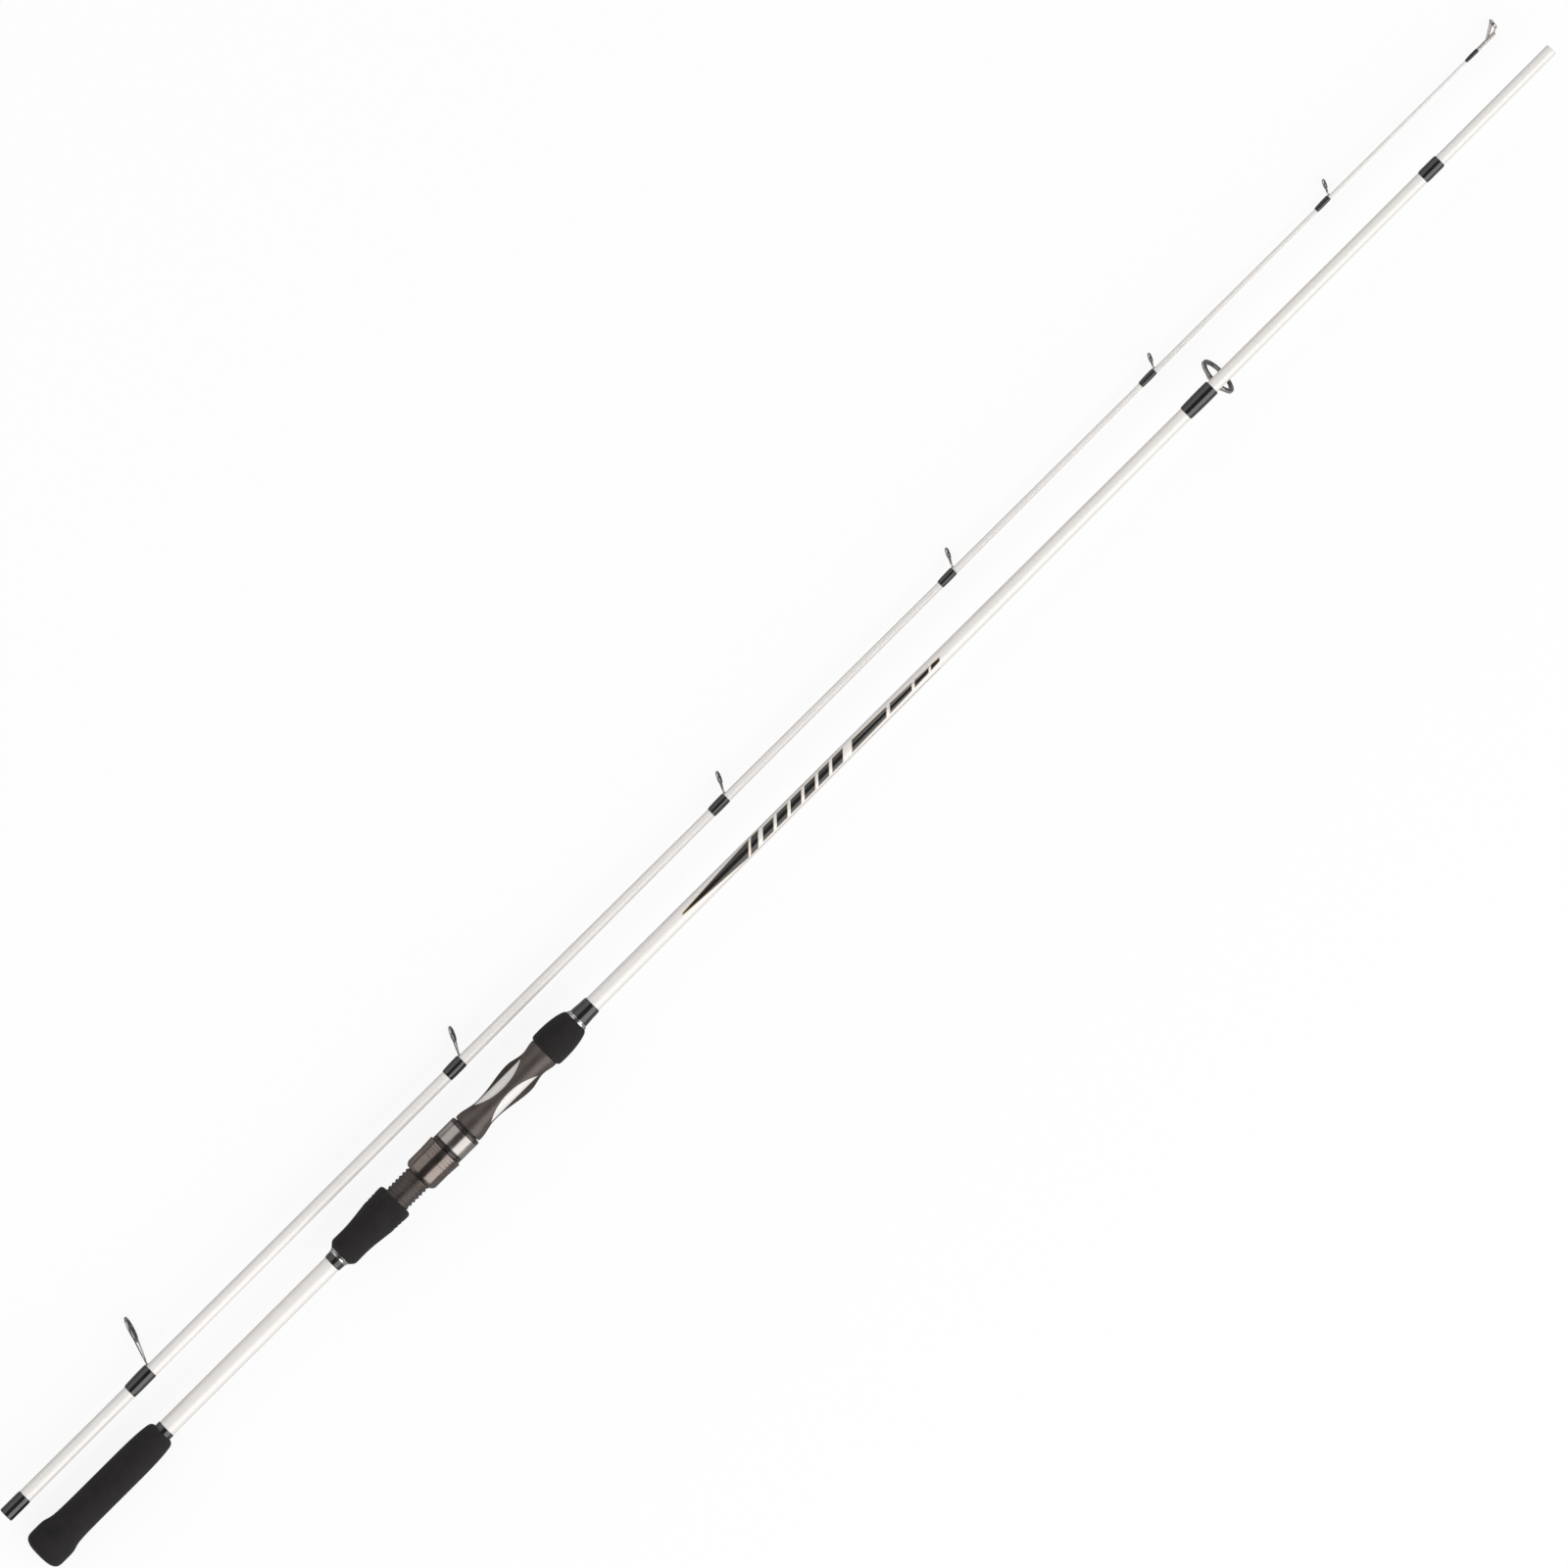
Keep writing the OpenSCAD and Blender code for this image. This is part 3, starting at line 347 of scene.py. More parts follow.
def newGroup(name, inputs, outputs):
    # inputs are numbers, or None for a vector; outputs are all numbers
    group = bpy.data.node_groups.new(name, "ShaderNodeTree")
    for label, value in inputs.items():
        kind = "NodeSocketVector" if value is None else "NodeSocketFloat"
        socket = group.interface.new_socket(label, in_out="INPUT", socket_type=kind)
        if value is not None:
            socket.default_value = value
    for label in outputs:
        group.interface.new_socket(label, in_out="OUTPUT", socket_type="NodeSocketFloat")
    return group, addNode(group, "NodeGroupInput").outputs, addNode(group, "NodeGroupOutput").inputs


def makeSurfaceGrain():
    # two sizes of noise: a mottle for colour and gloss, and a fine grain for height
    group, given, result = newGroup("surfaceGrain", {
        "Vector": None, "Mottle Size": 0.02, "Grain Size": 0.0004, "Cells": 0.0}, ["Mottle", "Height", "Speck"])
    mottle = addNode(group, "ShaderNodeTexNoise", None, {"Detail": 3.0, "Roughness": 0.6})
    fine = addNode(group, "ShaderNodeTexNoise", None, {"Detail": 2.0, "Roughness": 0.5})
    cell = addNode(group, "ShaderNodeTexVoronoi", {"feature": "F1"})
    for tex, size in ((mottle, "Mottle Size"), (fine, "Grain Size"), (cell, "Grain Size")):
        group.links.new(given["Vector"], tex.inputs["Vector"])
        group.links.new(mathNode(group, "DIVIDE", 1.0, given[size]), tex.inputs["Scale"])
    blend = addNode(group, "ShaderNodeMix", {"data_type": "FLOAT"})
    for i, value in ((0, given["Cells"]), (2, fine.outputs["Fac"]), (3, cell.outputs["Distance"])):
        group.links.new(value, blend.inputs[i])
    group.links.new(mottle.outputs["Fac"], result["Mottle"])
    group.links.new(blend.outputs[0], result["Height"])
    group.links.new(ranged(group, fine.outputs["Fac"], 0.58, 0.72), result["Speck"])
    return group


def makeThreadTurns():
    # close turns of thread round the rod, under a coat that has levelled most of them
    group, given, result = newGroup("threadTurns", {"Map": None, "Pitch": 0.24}, ["Height", "Gap"])
    split = splitMap(group, given["Map"])
    wander = addNode(group, "ShaderNodeTexNoise", None, {"Scale": 0.8, "Detail": 1.0})
    group.links.new(given["Map"], wander.inputs["Vector"])
    shift = mathNode(group, "MULTIPLY", wander.outputs["Fac"], 0.5)
    turns = mathNode(group, "DIVIDE", split["X"], given["Pitch"])
    part = mathNode(group, "FRACT", mathNode(group, "ADD", turns, shift))
    away = mathNode(group, "ABSOLUTE", mathNode(group, "SUBTRACT", part, 0.5))
    dip = mathNode(group, "MULTIPLY", mathNode(group, "MULTIPLY", away, away), 4.0)
    group.links.new(mathNode(group, "SUBTRACT", 1.0, dip), result["Height"])
    group.links.new(ranged(group, away, 0.38, 0.5, kind="LINEAR"), result["Gap"])
    return group


def makeSpunLines():
    # fine marks that run round a turned or rolled piece
    group, given, result = newGroup("spunLines", {"Map": None, "Density": 9.0, "Stretch": 0.03}, ["Height"])
    split = splitMap(group, given["Map"])
    both = addNode(group, "ShaderNodeCombineXYZ")
    for axis, rate in (("X", "Density"), ("Y", "Stretch")):
        group.links.new(mathNode(group, "MULTIPLY", split[axis], given[rate]), both.inputs[axis])
    streak = addNode(group, "ShaderNodeTexNoise", None, {"Scale": 1.0, "Detail": 3.0, "Roughness": 0.6})
    group.links.new(both.outputs[0], streak.inputs["Vector"])
    group.links.new(streak.outputs["Fac"], result["Height"])
    return group


def makeInkBar():
    # distance in millimetres inside one printed bar on the blank; below zero is outside
    group, given, result = newGroup("inkBar", {
        "Along": 0.0, "Around": 0.0, "Start": 0.0, "End": 10.0, "Centre": 0.0, "Rear Half": 1.0,
        "Front Half": 1.0, "Slant": 0.0}, ["Inside"])
    off = mathNode(group, "SUBTRACT", given["Around"], given["Centre"])
    along = mathNode(group, "SUBTRACT", given["Along"], mathNode(group, "MULTIPLY", off, given["Slant"]))
    span = mathNode(group, "SUBTRACT", given["End"], given["Start"])
    fromStart = mathNode(group, "SUBTRACT", along, given["Start"])
    share = addNode(group, "ShaderNodeClamp")
    group.links.new(mathNode(group, "DIVIDE", fromStart, span), share.inputs["Value"])
    widening = mathNode(group, "SUBTRACT", given["Front Half"], given["Rear Half"])
    half = mathNode(group, "MULTIPLY_ADD", share.outputs[0], widening, given["Rear Half"])
    sideways = mathNode(group, "SUBTRACT", half, mathNode(group, "ABSOLUTE", off))
    lengthways = mathNode(group, "MINIMUM", fromStart, mathNode(group, "SUBTRACT", given["End"], along))
    group.links.new(mathNode(group, "MINIMUM", sideways, lengthways), result["Inside"])
    return group


surfaceGrain = makeSurfaceGrain()
threadTurns = makeThreadTurns()
spunLines = makeSpunLines()
inkBar = makeInkBar()
print("shader groups made")


def printedOver(tree, rodMap, colour, art):
    # bars in a dark ink with a thin bright edge, and thin lines between them
    along, around, _ = splitMap(tree, rodMap)

    def bar(source, *sizes):
        labels = ("Start", "End", "Centre", "Rear Half", "Front Half", "Slant")
        return useGroup(tree, inkBar, {"Along": source, "Around": around, **dict(zip(labels, sizes))})[0]

    def union(found):
        whole = found[0]
        for other in found[1:]:
            whole = mathNode(tree, "MAXIMUM", whole, other)
        return whole

    row, wide = art["row"], 20.0  # the row's own ends cut it off at any height
    leaned = mathNode(tree, "SUBTRACT", along, mathNode(tree, "MULTIPLY", around, row["slant"]))
    inRow = mathNode(tree, "FLOORED_MODULO", mathNode(tree, "SUBTRACT", leaned, row["from"]), row["step"])
    block = bar(inRow, 0.0, row["length"], 0.0, row["half"], row["half"], 0.0)
    rowSpan = bar(leaned, row["from"] - art["edge"], row["to"], 0.0, wide, wide, 0.0)
    inked = union([bar(along, *sizes) for sizes in art["bars"]] + [mathNode(tree, "MINIMUM", block, rowSpan)])
    lined = union([bar(along, start, end, centre, half * 0.4, half, 0.0) for start, end, centre, half in art["lines"]])
    for found, low, high, shade in ((inked, -art["edge"], -art["edge"] + 0.08, art["gold"]),
                                    (inked, -0.04, 0.04, art["ink"]), (lined, -0.05, 0.05, art["silver"])):
        colour = mixColour(tree, ranged(tree, found, low, high, kind="LINEAR"), colour, shade)
    return colour


def finishFor(name, look):
    finish = bpy.data.materials.new(name)
    finish.use_nodes = True
    tree = finish.node_tree
    shader = tree.nodes["Principled BSDF"].inputs
    for key, value in look.get("fixed", {}).items():
        shader[key].default_value = value
    rodMap = addNode(tree, "ShaderNodeUVMap", {"uv_map": "rodMap"}).outputs[0]
    grain = useGroup(tree, surfaceGrain, {
        "Vector": addNode(tree, "ShaderNodeTexCoord").outputs["Object"], "Mottle Size": look["mottle"],
        "Grain Size": look["grain"], "Cells": look.get("cells", 0.0)})
    spread = ranged(tree, grain["Mottle"], *look.get("spread", (0.25, 0.75)))
    colour = mixColour(tree, spread, look["dark"], look["light"])
    if "speck" in look:
        share = mathNode(tree, "MULTIPLY", grain["Speck"], look["speckShare"])
        colour = mixColour(tree, share, colour, look["speck"])
    if "art" in look:
        colour = printedOver(tree, rodMap, colour, look["art"])
    height = mathNode(tree, "MULTIPLY", grain["Height"], look["grainDepth"])
    if "turns" in look:
        turns = useGroup(tree, threadTurns, {"Map": rodMap, "Pitch": look["turns"]})
        colour = mixColour(tree, mathNode(tree, "MULTIPLY", turns["Gap"], 0.6), colour, look["gap"])
        height = mathNode(tree, "MULTIPLY_ADD", turns["Height"], look["turnDepth"], height)
    if "spun" in look:
        marks = useGroup(tree, spunLines, {"Map": rodMap, "Density": look["spun"]})
        height = mathNode(tree, "MULTIPLY_ADD", marks["Height"], look["spunDepth"], height)
    relief = addNode(tree, "ShaderNodeBump", None, {"Strength": 1.0, "Distance": 0.001})
    for value, target in ((colour, shader["Base Color"]), (height, relief.inputs["Height"]),
                          (ranged(tree, grain["Mottle"], 0.25, 0.75, *look["rough"]), shader["Roughness"]),
                          (relief.outputs["Normal"], shader["Normal"])):
        tree.links.new(value, target)
    return finish


foamFinish = finishFor("gripFoam", {
    "dark": (0.0098, 0.0086, 0.0083), "light": (0.019, 0.0165, 0.0158), "speck": (0.034, 0.03, 0.028),
    "speckShare": 0.45, "rough": (0.78, 0.94), "mottle": 0.01, "grain": 0.00035, "cells": 0.6, "grainDepth": 0.09,
    "fixed": {"Specular IOR Level": 0.28, "Sheen Weight": 0.06, "Sheen Roughness": 0.6}})
epoxyFinish = finishFor("wrapEpoxy", {
    "dark": (0.0045, 0.0045, 0.005), "light": (0.0075, 0.0073, 0.0075), "rough": (0.2, 0.3), "mottle": 0.004,
    "grain": 0.0012, "grainDepth": 0.012, "turns": 0.24, "gap": (0.0018, 0.0018, 0.0018), "turnDepth": 0.006,
    "fixed": {"IOR": 1.6, "Coat Weight": 1.0, "Coat Roughness": 0.08, "Coat IOR": 1.56}})
seatFinish = finishFor("seatResin", {
    "dark": (0.105, 0.088, 0.08), "light": (0.135, 0.114, 0.104), "speck": (0.2, 0.172, 0.158),
    "speckShare": 0.35, "rough": (0.36, 0.44), "mottle": 0.009, "grain": 0.00025, "grainDepth": 0.008,
    "fixed": {"IOR": 1.5, "Metallic": 0.6}})
threadFinish = finishFor("barrelResin", {
    "dark": (0.1, 0.085, 0.078), "light": (0.13, 0.112, 0.103), "rough": (0.36, 0.46), "mottle": 0.006,
    "grain": 0.0003, "grainDepth": 0.01, "fixed": {"IOR": 1.5, "Metallic": 0.6}})
nutFinish = finishFor("nutMetal", {
    "dark": (0.245, 0.205, 0.185), "light": (0.29, 0.245, 0.222), "rough": (0.16, 0.24), "mottle": 0.005,
    "grain": 0.0004, "grainDepth": 0.002, "spun": 9.0, "spunDepth": 0.003, "fixed": {"Metallic": 1.0}})
hoodFinish = finishFor("hoodShell", {
    "dark": (0.03, 0.026, 0.023), "light": (0.045, 0.038, 0.034), "rough": (0.2, 0.28), "mottle": 0.005,
    "grain": 0.0004, "grainDepth": 0.003, "fixed": {"IOR": 1.55, "Metallic": 0.4, "Coat Weight": 0.6}})
coverFinish = finishFor("hoodPlate", {
    "dark": (0.47, 0.435, 0.41), "light": (0.54, 0.505, 0.48), "rough": (0.2, 0.28), "mottle": 0.006,
    "grain": 0.0005, "grainDepth": 0.002, "spun": 11.0, "spunDepth": 0.004, "fixed": {"Metallic": 1.0}})
trimFinish = finishFor("trimRing", {
    "dark": (0.62, 0.61, 0.6), "light": (0.72, 0.71, 0.7), "rough": (0.1, 0.18), "mottle": 0.004,
    "grain": 0.0004, "grainDepth": 0.001, "spun": 12.0, "spunDepth": 0.002, "fixed": {"Metallic": 1.0}})
guideFinish = finishFor("guideSteel", {
    "dark": (0.58, 0.535, 0.505), "light": (0.73, 0.68, 0.645), "rough": (0.12, 0.2), "mottle": 0.003,
    "grain": 0.0004, "grainDepth": 0.0015, "spun": 5.0, "spunDepth": 0.0015, "fixed": {"Metallic": 1.0}})
ringFinish = finishFor("lineRing", {
    "dark": (0.035, 0.035, 0.037), "light": (0.06, 0.06, 0.063), "rough": (0.12, 0.2), "mottle": 0.002,
    "grain": 0.0003, "grainDepth": 0.0008, "fixed": {"IOR": 1.75, "Coat Weight": 0.4}})
linerFinish = finishFor("pocketLiner", {
    "dark": (0.018, 0.018, 0.018), "light": (0.03, 0.029, 0.028), "rough": (0.5, 0.62), "mottle": 0.004,
    "grain": 0.0003, "grainDepth": 0.012})
arborFinish = finishFor("arborFoam", {
    "dark": (0.06, 0.06, 0.06), "light": (0.1, 0.1, 0.1), "rough": (0.7, 0.85), "mottle": 0.004,
    "grain": 0.0005, "cells": 0.8, "grainDepth": 0.06})
sleeveFinish = finishFor("sleeveWhite", {
    "dark": (0.868, 0.84, 0.812), "light": (0.9, 0.876, 0.852), "rough": (0.22, 0.3), "mottle": 0.01,
    "grain": 0.0008, "grainDepth": 0.002, "fixed": {"Coat Weight": 0.5, "Coat Roughness": 0.1}})

# the print on top of the butt section, in millimetres: along the rod, and round it from the top line
buttArt = {
    "bars": [  # start, end, centre, half width at the rear, half width at the front, slant
        (536.0, 590.0, 0.2, 0.15, 3.9, 0.9), (676.0, 704.0, -0.2, 2.6, 2.1, 0.9), (707.5, 725.0, -0.2, 2.0, 1.5, 0.9),
        (728.0, 739.0, -0.2, 1.45, 1.05, 0.9), (741.5, 748.0, -0.2, 1.0, 0.6, 0.9), (592.5, 598.0, 0.2, 4.0, 4.0, 0.9)],
    "row": {"from": 602.0, "to": 669.0, "step": 11.5, "length": 8.6, "half": 3.0, "slant": 0.9},
    "lines": [(522.0, 668.0, 5.2, 0.3), (560.0, 745.0, -5.0, 0.3), (676.0, 742.0, 0.9, 0.24)],
    "ink": (0.012, 0.0105, 0.01), "gold": (0.36, 0.25, 0.13), "silver": (0.36, 0.36, 0.38), "edge": 0.5,
}
lacquer = {
    "dark": (0.868, 0.832, 0.8), "light": (0.905, 0.874, 0.845), "spread": (-0.25, 1.25), "rough": (0.23, 0.28),
    "mottle": 0.03, "grain": 0.0016, "grainDepth": 0.004,
    "fixed": {"IOR": 1.5, "Coat Weight": 1.0, "Coat Roughness": 0.06},
}
buttLacquer = finishFor("buttLacquer", {**lacquer, "art": buttArt})
tipLacquer = finishFor("tipLacquer", lacquer)
print("finishes made")

# the blanks' stations are (x, radius)
buttStations = [(0, 5.48), (240, 5.48), (500, 5.05), (804, 4.45), (1080, 3.8), (1163.4, 3.8)]
tipStations = [(0, 4.3), (339, 3.65), (915, 1.65), (1235, 0.75)]

buttBlank = {
    "outer": [(9.3, 5.48)] + buttStations[1:5] + [(1148, 3.8), (1163.2, 3.8)], "stop": [(1163.0, 3.8), (1163.35, 3.68)],
    "spigotFrom": 1163.4, "spigotEnd": 1256.0, "spigotR": 3.55, "endRound": 0.55, "wall": 1.0, "narrowFrom": 1160.0,
}


def buildButtBlank(b):
    spigotR, start, end = b["spigotR"], b["spigotFrom"], b["spigotEnd"] - b["endRound"]
    outer = tapered(b["outer"]) + b["stop"] + [(start + (end - start) * i / 5, spigotR) for i in range(5)]
    outer += roundedEdge(end, spigotR - b["endRound"], b["endRound"], 90, 0)
    inner = [(b["spigotEnd"] - 0.05, spigotR - b["wall"]), (b["narrowFrom"], spigotR - b["wall"])]
    inner += [(x, r - b["wall"]) for x, r in reversed(b["outer"][:5])]
    return turned(outer + inner, 80, closed=True)


addPiece("buttBlank", [buildButtBlank(buttBlank)], buttLay, "butt_section", buttLacquer, ["butt_blank"])

rearGrip = {
    "outside": [(0.5, 0.0), (0.53, 3.0), (0.6, 5.5), (0.85, 7.6), (1.35, 9.3), (2.2, 10.9), (3.4, 12.1), (4.8, 12.7),
                (6.6, 12.95), (9.0, 13.0), (13.5, 13.0), (16.4, 12.77), (18.0, 12.45), (19.6, 11.95), (21.2, 11.5),
                (23.0, 11.18), (26.0, 10.92), (31.0, 10.72), (45.0, 10.6), (62.0, 10.6), (78.0, 10.58), (84.0, 10.5),
                (89.0, 10.33), (94.0, 10.0), (97.5, 9.62), (100.0, 9.25), (101.4, 8.75), (102.4, 7.95), (102.95, 7.0)],
    "bore": 5.54, "boreFrom": 9.1, "recess": 6.06, "recessFrom": 99.5, "mouth": (101.6, 102.6), "mouthFlare": 0.4,
}


def buildRearGrip(g):
    recess, bore = g["recess"], g["bore"]
    inside = [(g["mouth"][1], recess + g["mouthFlare"]), (g["mouth"][0], recess), (g["recessFrom"], recess),
              (g["recessFrom"], bore), (g["boreFrom"], bore), (g["boreFrom"], 0.0)]
    return turned(curved(g["outside"]) + inside, 112)


addPiece("rearGrip", [buildRearGrip(rearGrip)], buttLay, "butt_section", foamFinish,
                   ["rear_grip"], 50)

gripCollar = {"from": 99.65, "to": 106.55, "outer": 6.0, "bore": 5.53, "lip": 0.35}


def buildCollar(c):
    front = roundedEdge(c["to"] - c["lip"], c["outer"] - c["lip"], c["lip"], 90, 0, 4)
    rear = [(c["from"], c["bore"]), (c["from"], c["outer"]), (c["to"] - c["lip"] - 0.1, c["outer"])]
    return turned(rear + front + [(c["to"], c["bore"])], 96, closed=True)


addPiece("gripCollar", [buildCollar(gripCollar)], buttLay, "butt_section", epoxyFinish,
         ["rear_grip_collar"])

seatBand = {"profile": [(243.95, 5.53), (243.95, 5.58), (244.3, 5.8), (244.9, 5.93), (246.5, 6.0), (248.1, 6.1),
                        (248.5, 6.15), (248.5, 5.53)]}
addPiece("seatBand", [turned(seatBand["profile"], closed=True)], buttLay, "butt_section", epoxyFinish,
         ["seat_band"])

seatTrimRing = {"profile": [(248.65, 5.53), (248.62, 6.2), (248.75, 6.32), (249.3, 6.42), (249.9, 6.62), (250.4, 6.92),
                            (250.8, 7.25), (251.02, 7.48), (251.15, 7.5), (251.15, 5.53)]}
addPiece("seatTrimRing", [turned(seatTrimRing["profile"], closed=True)], buttLay, "butt_section", trimFinish,
         ["seat_trim_ring"])

seatRearGrip = {
    "outside": [(251.25, 7.6), (251.9, 8.2), (252.9, 9.05), (253.9, 9.62), (255.2, 9.78), (258.0, 9.75), (262.0, 9.72),
                (265.0, 9.8), (268.5, 10.02), (272.0, 10.35), (275.6, 10.8), (279.0, 11.2), (282.0, 11.55)],
    "grooves": [(284.8, 11.692), (287.8, 11.812), (290.6, 11.924)], "grooveDepth": 0.32, "grooveHalf": 0.75,
    "front": [(292.0, 11.95), (294.0, 12.0), (295.6, 11.95), (296.5, 11.6), (297.1, 10.9), (297.35, 10.0),
              (297.38, 9.3)],
    "inside": [(297.3, 8.05), (285.3, 8.05), (285.3, 5.54), (251.25, 5.54)],
}


def buildSeatRearGrip(g):
    outside = curved(g["outside"])
    for x, level in g["grooves"]:
        for i in range(-4, 5):
            dip = 0.5 * (1 + math.cos(math.pi * i / 4))
            outside.append((x + i / 4 * g["grooveHalf"], level - g["grooveDepth"] * dip))
    return turned(outside + curved(g["front"]) + g["inside"], 112, closed=True)


addPiece("seatRearGrip", [buildSeatRearGrip(seatRearGrip)], buttLay, "butt_section", foamFinish,
                   ["seat_rear_grip"], 60)
print("blank and rear grips built")

seatBarrel = {"from": 285.45, "threadFrom": 296.0, "to": 356.5, "root": 7.93, "crest": 8.64, "pitch": 2.88,
              "keyHalf": 0.45, "keyFloor": 7.78, "bore": 7.25, "step": 0.24, "sides": 96, "fadeIn": 1.5}


def threadHeight(phase):
    # one turn of the thread: flank, crest, flank and root
    phase = phase % 1.0
    t = min(1.0, max(0.0, phase / 0.26 if phase < 0.5 else (0.76 - phase) / 0.26))
    return t * t * (3 - 2 * t)


def buildBarrel(b):
    # a single-start right-hand thread with a keyway along its top
    key = b["keyHalf"] / b["crest"]
    angles = [2 * math.pi * k / b["sides"] - math.pi for k in range(b["sides"])]
    angles = sorted([a for a in angles if abs(a) > key * 1.6] + [-key * 1.12, -key, 0.0, key, key * 1.12])
    rows = int((b["to"] - b["from"]) / b["step"])
    rings = []
    for i in range(rows + 1):
        x = b["from"] + (b["to"] - b["from"]) * i / rows
        reach = min(1, max(0, (x - b["threadFrom"]) / b["fadeIn"]), max(0, (b["to"] - 0.6 - x) / b["fadeIn"]))
        ring = []
        for a in angles:
            r = b["root"] + (b["crest"] - b["root"]) * reach * threadHeight(x / b["pitch"] + a / (2 * math.pi))
            if abs(a) <= key * 1.001 and x > b["threadFrom"] + 1:
                r = min(r, b["keyFloor"])
            ring.append((x, r * math.sin(a), r * math.cos(a)))
        rings.append(ring)
    rings += [[(x, b["bore"] * math.sin(a), b["bore"] * math.cos(a)) for a in angles] for x in (b["to"], b["from"])]
    count = len(angles)
    return skinned(rings, lambda i, k: (i * b["step"], (angles[k % count] + 2 * math.pi * (k // count)) * 8), True)


addPiece("seatBarrel", [buildBarrel(seatBarrel)], buttLay, "butt_section", threadFinish,
         ["reel_seat"], 70)

seatBody = {
    "rear": [(356.5, 9.3), (356.75, 9.6), (357.3, 9.82), (358.2, 9.82)],
    "runs": [((358.2, 9.82), (371.5, 7.7), 14), ((374.0, 7.7), (399.1, 10.38), 20), ((399.6, 10.38), (410.5, 8.56), 12),
             ((411.2, 8.56), (419.6, 9.78), 10)],
    "front": [(420.4, 9.78), (420.75, 9.6), (420.85, 9.3), (420.85, 8.6), (438.1, 8.58)],
    "bore": 7.25, "boreFrom": 350.0, "windowMid": 388.6, "windowR": 39.9, "windowCentre": 42.0,
    "windowTo": (0.02, 16.0), "deck": 8.8, "deckBlock": (358.0, 419.8, 6.5, -9.8, -5.5), "below": (356.0, 416.9, 14),
    "canopy": {"half": 8.4, "top": -5.75, "bottom": -15.78, "corner": 3.6},
    "canopyEnds": [(416.9, -0.3), (417.25, 0.0), (430.8, 0.0), (431.85, -0.4), (432.2, -1.0)],
    "pocket": {"half": 7.1, "top": -8.35, "bottom": -14.48, "corner": 2.6},
    "pocketSpan": (415.0, 430.9),
    "soften": {"width": 0.28, "segments": 3, "angle": 48},
}


def hangingOutline(size, grow, steps=6):
    # (y, z) round a block that hangs below the rod, with two rounded lower corners
    half, bottom, corner = size["half"] + grow, size["bottom"] - grow, size["corner"]
    spots = [(half, size["top"])]
    for side, begin in ((1, 0.0), (-1, -math.pi / 2)):
        for i in range(steps + 1):
            a = begin - math.pi / 2 * i / steps
            spots.append((side * (half - corner) + corner * math.cos(a), bottom + corner + corner * math.sin(a)))
    return spots + [(-half, size["top"])]


def hangingBlock(size, ends):
    return lofted([(x, hangingOutline(size, grow)) for x, grow in ends])


def boxShape(x0, x1, half, z0, z1):
    return lofted([(x, [(-half, z0), (half, z0), (half, z1), (-half, z1)]) for x in (x0, x1)])


def plug(x0, x1, r, sides=120):
    return turned([(x0, 0.0), (x0, r), (x1, r), (x1, 0.0)], sides)


def uprightRound(x, y, r, z0, z1):
    column = plug(z0, z1, r, 360)
    column["points"] = [(x + p[1], y + p[2], p[0]) for p in column["points"]]
    return column


def buildSeatBody(b):
    # the flat underside is cut before the canopy joins, so that the canopy hangs below the deck
    outside = b["rear"] + [spot for run in b["runs"] for spot in eased(*run)] + b["front"]
    solid = turned([(outside[0][0], 0.0)] + outside + [(outside[-1][0], 0.0)], 144)
    along = [b["boreFrom"] + i * 3.0 for i in range(31)]
    bore = turned([(along[0], 0.0)] + [(x, b["bore"]) for x in along] + [(along[-1], 0.0)], 140)
    windows = [uprightRound(b["windowMid"], side * b["windowCentre"], b["windowR"], *b["windowTo"]) for side in (-1, 1)]
    pocket = hangingBlock(b["pocket"], [(x, 0.0) for x in b["pocketSpan"]])
    steps = joined(boxShape(*b["deckBlock"])) + cutAway(boxShape(*b["below"], -14, -b["deck"]))
    return solid, steps + joined(hangingBlock(b["canopy"], b["canopyEnds"])) + cutAway(bore, pocket, *windows)


seatBodyPiece = carved("seatBody", *buildSeatBody(seatBody), buttLay, "butt_section", seatFinish, "seat_plastic",
                       soften=seatBody["soften"], sharpAngle=40)
print("reel seat carved,", len(seatBodyPiece.data.polygons), "faces")

lockNut = {
    "rear": [(316.4, 8.85), (316.4, 9.5), (316.5, 9.72), (316.75, 9.95), (317.8, 10.86), (318.05, 11.02),
             (318.15, 10.95), (318.4, 10.95), (318.5, 11.12), (318.7, 11.26), (319.0, 11.3), (329.3, 11.3)],
    "ribs": [(329.6, 332.1, 11.42), (332.4, 334.15, 11.55), (334.45, 336.15, 11.66), (336.45, 338.1, 11.77)],
    "grooveDepth": 0.3, "edge": 0.12,
    "front": [(338.3, 11.45), (338.55, 11.0), (338.7, 10.5), (338.75, 10.2), (338.75, 9.42), (343.45, 9.42),
              (343.45, 8.82)],
}


def buildLockNut(n):
    outside = list(n["rear"])
    for x0, x1, r in n["ribs"]:
        floorR, e = r - n["grooveDepth"], n["edge"]
        outside += [(x0 - 0.2, floorR), (x0, floorR), (x0 + 0.03, r - e), (x0 + e, r - 0.03), (x0 + e + 0.1, r),
                    (x1 - e - 0.1, r), (x1 - e, r - 0.03), (x1 - 0.03, r - e)]
    return turned(outside + n["front"], 120, closed=True)


addPiece("lockNut", [buildLockNut(lockNut)], buttLay, "lock_nut", nutFinish, ["lock_nut"], 48)

thrustWasher = {"profile": [(338.95, 9.62), (338.95, 10.45), (339.1, 10.66), (339.3, 10.74), (340.15, 10.74),
                            (340.35, 10.66), (340.45, 10.45), (340.45, 9.62)]}
addPiece("thrustWasher", [turned(thrustWasher["profile"], closed=True)], buttLay, "hood", hoodFinish,
         ["thrust_washer"], 48)

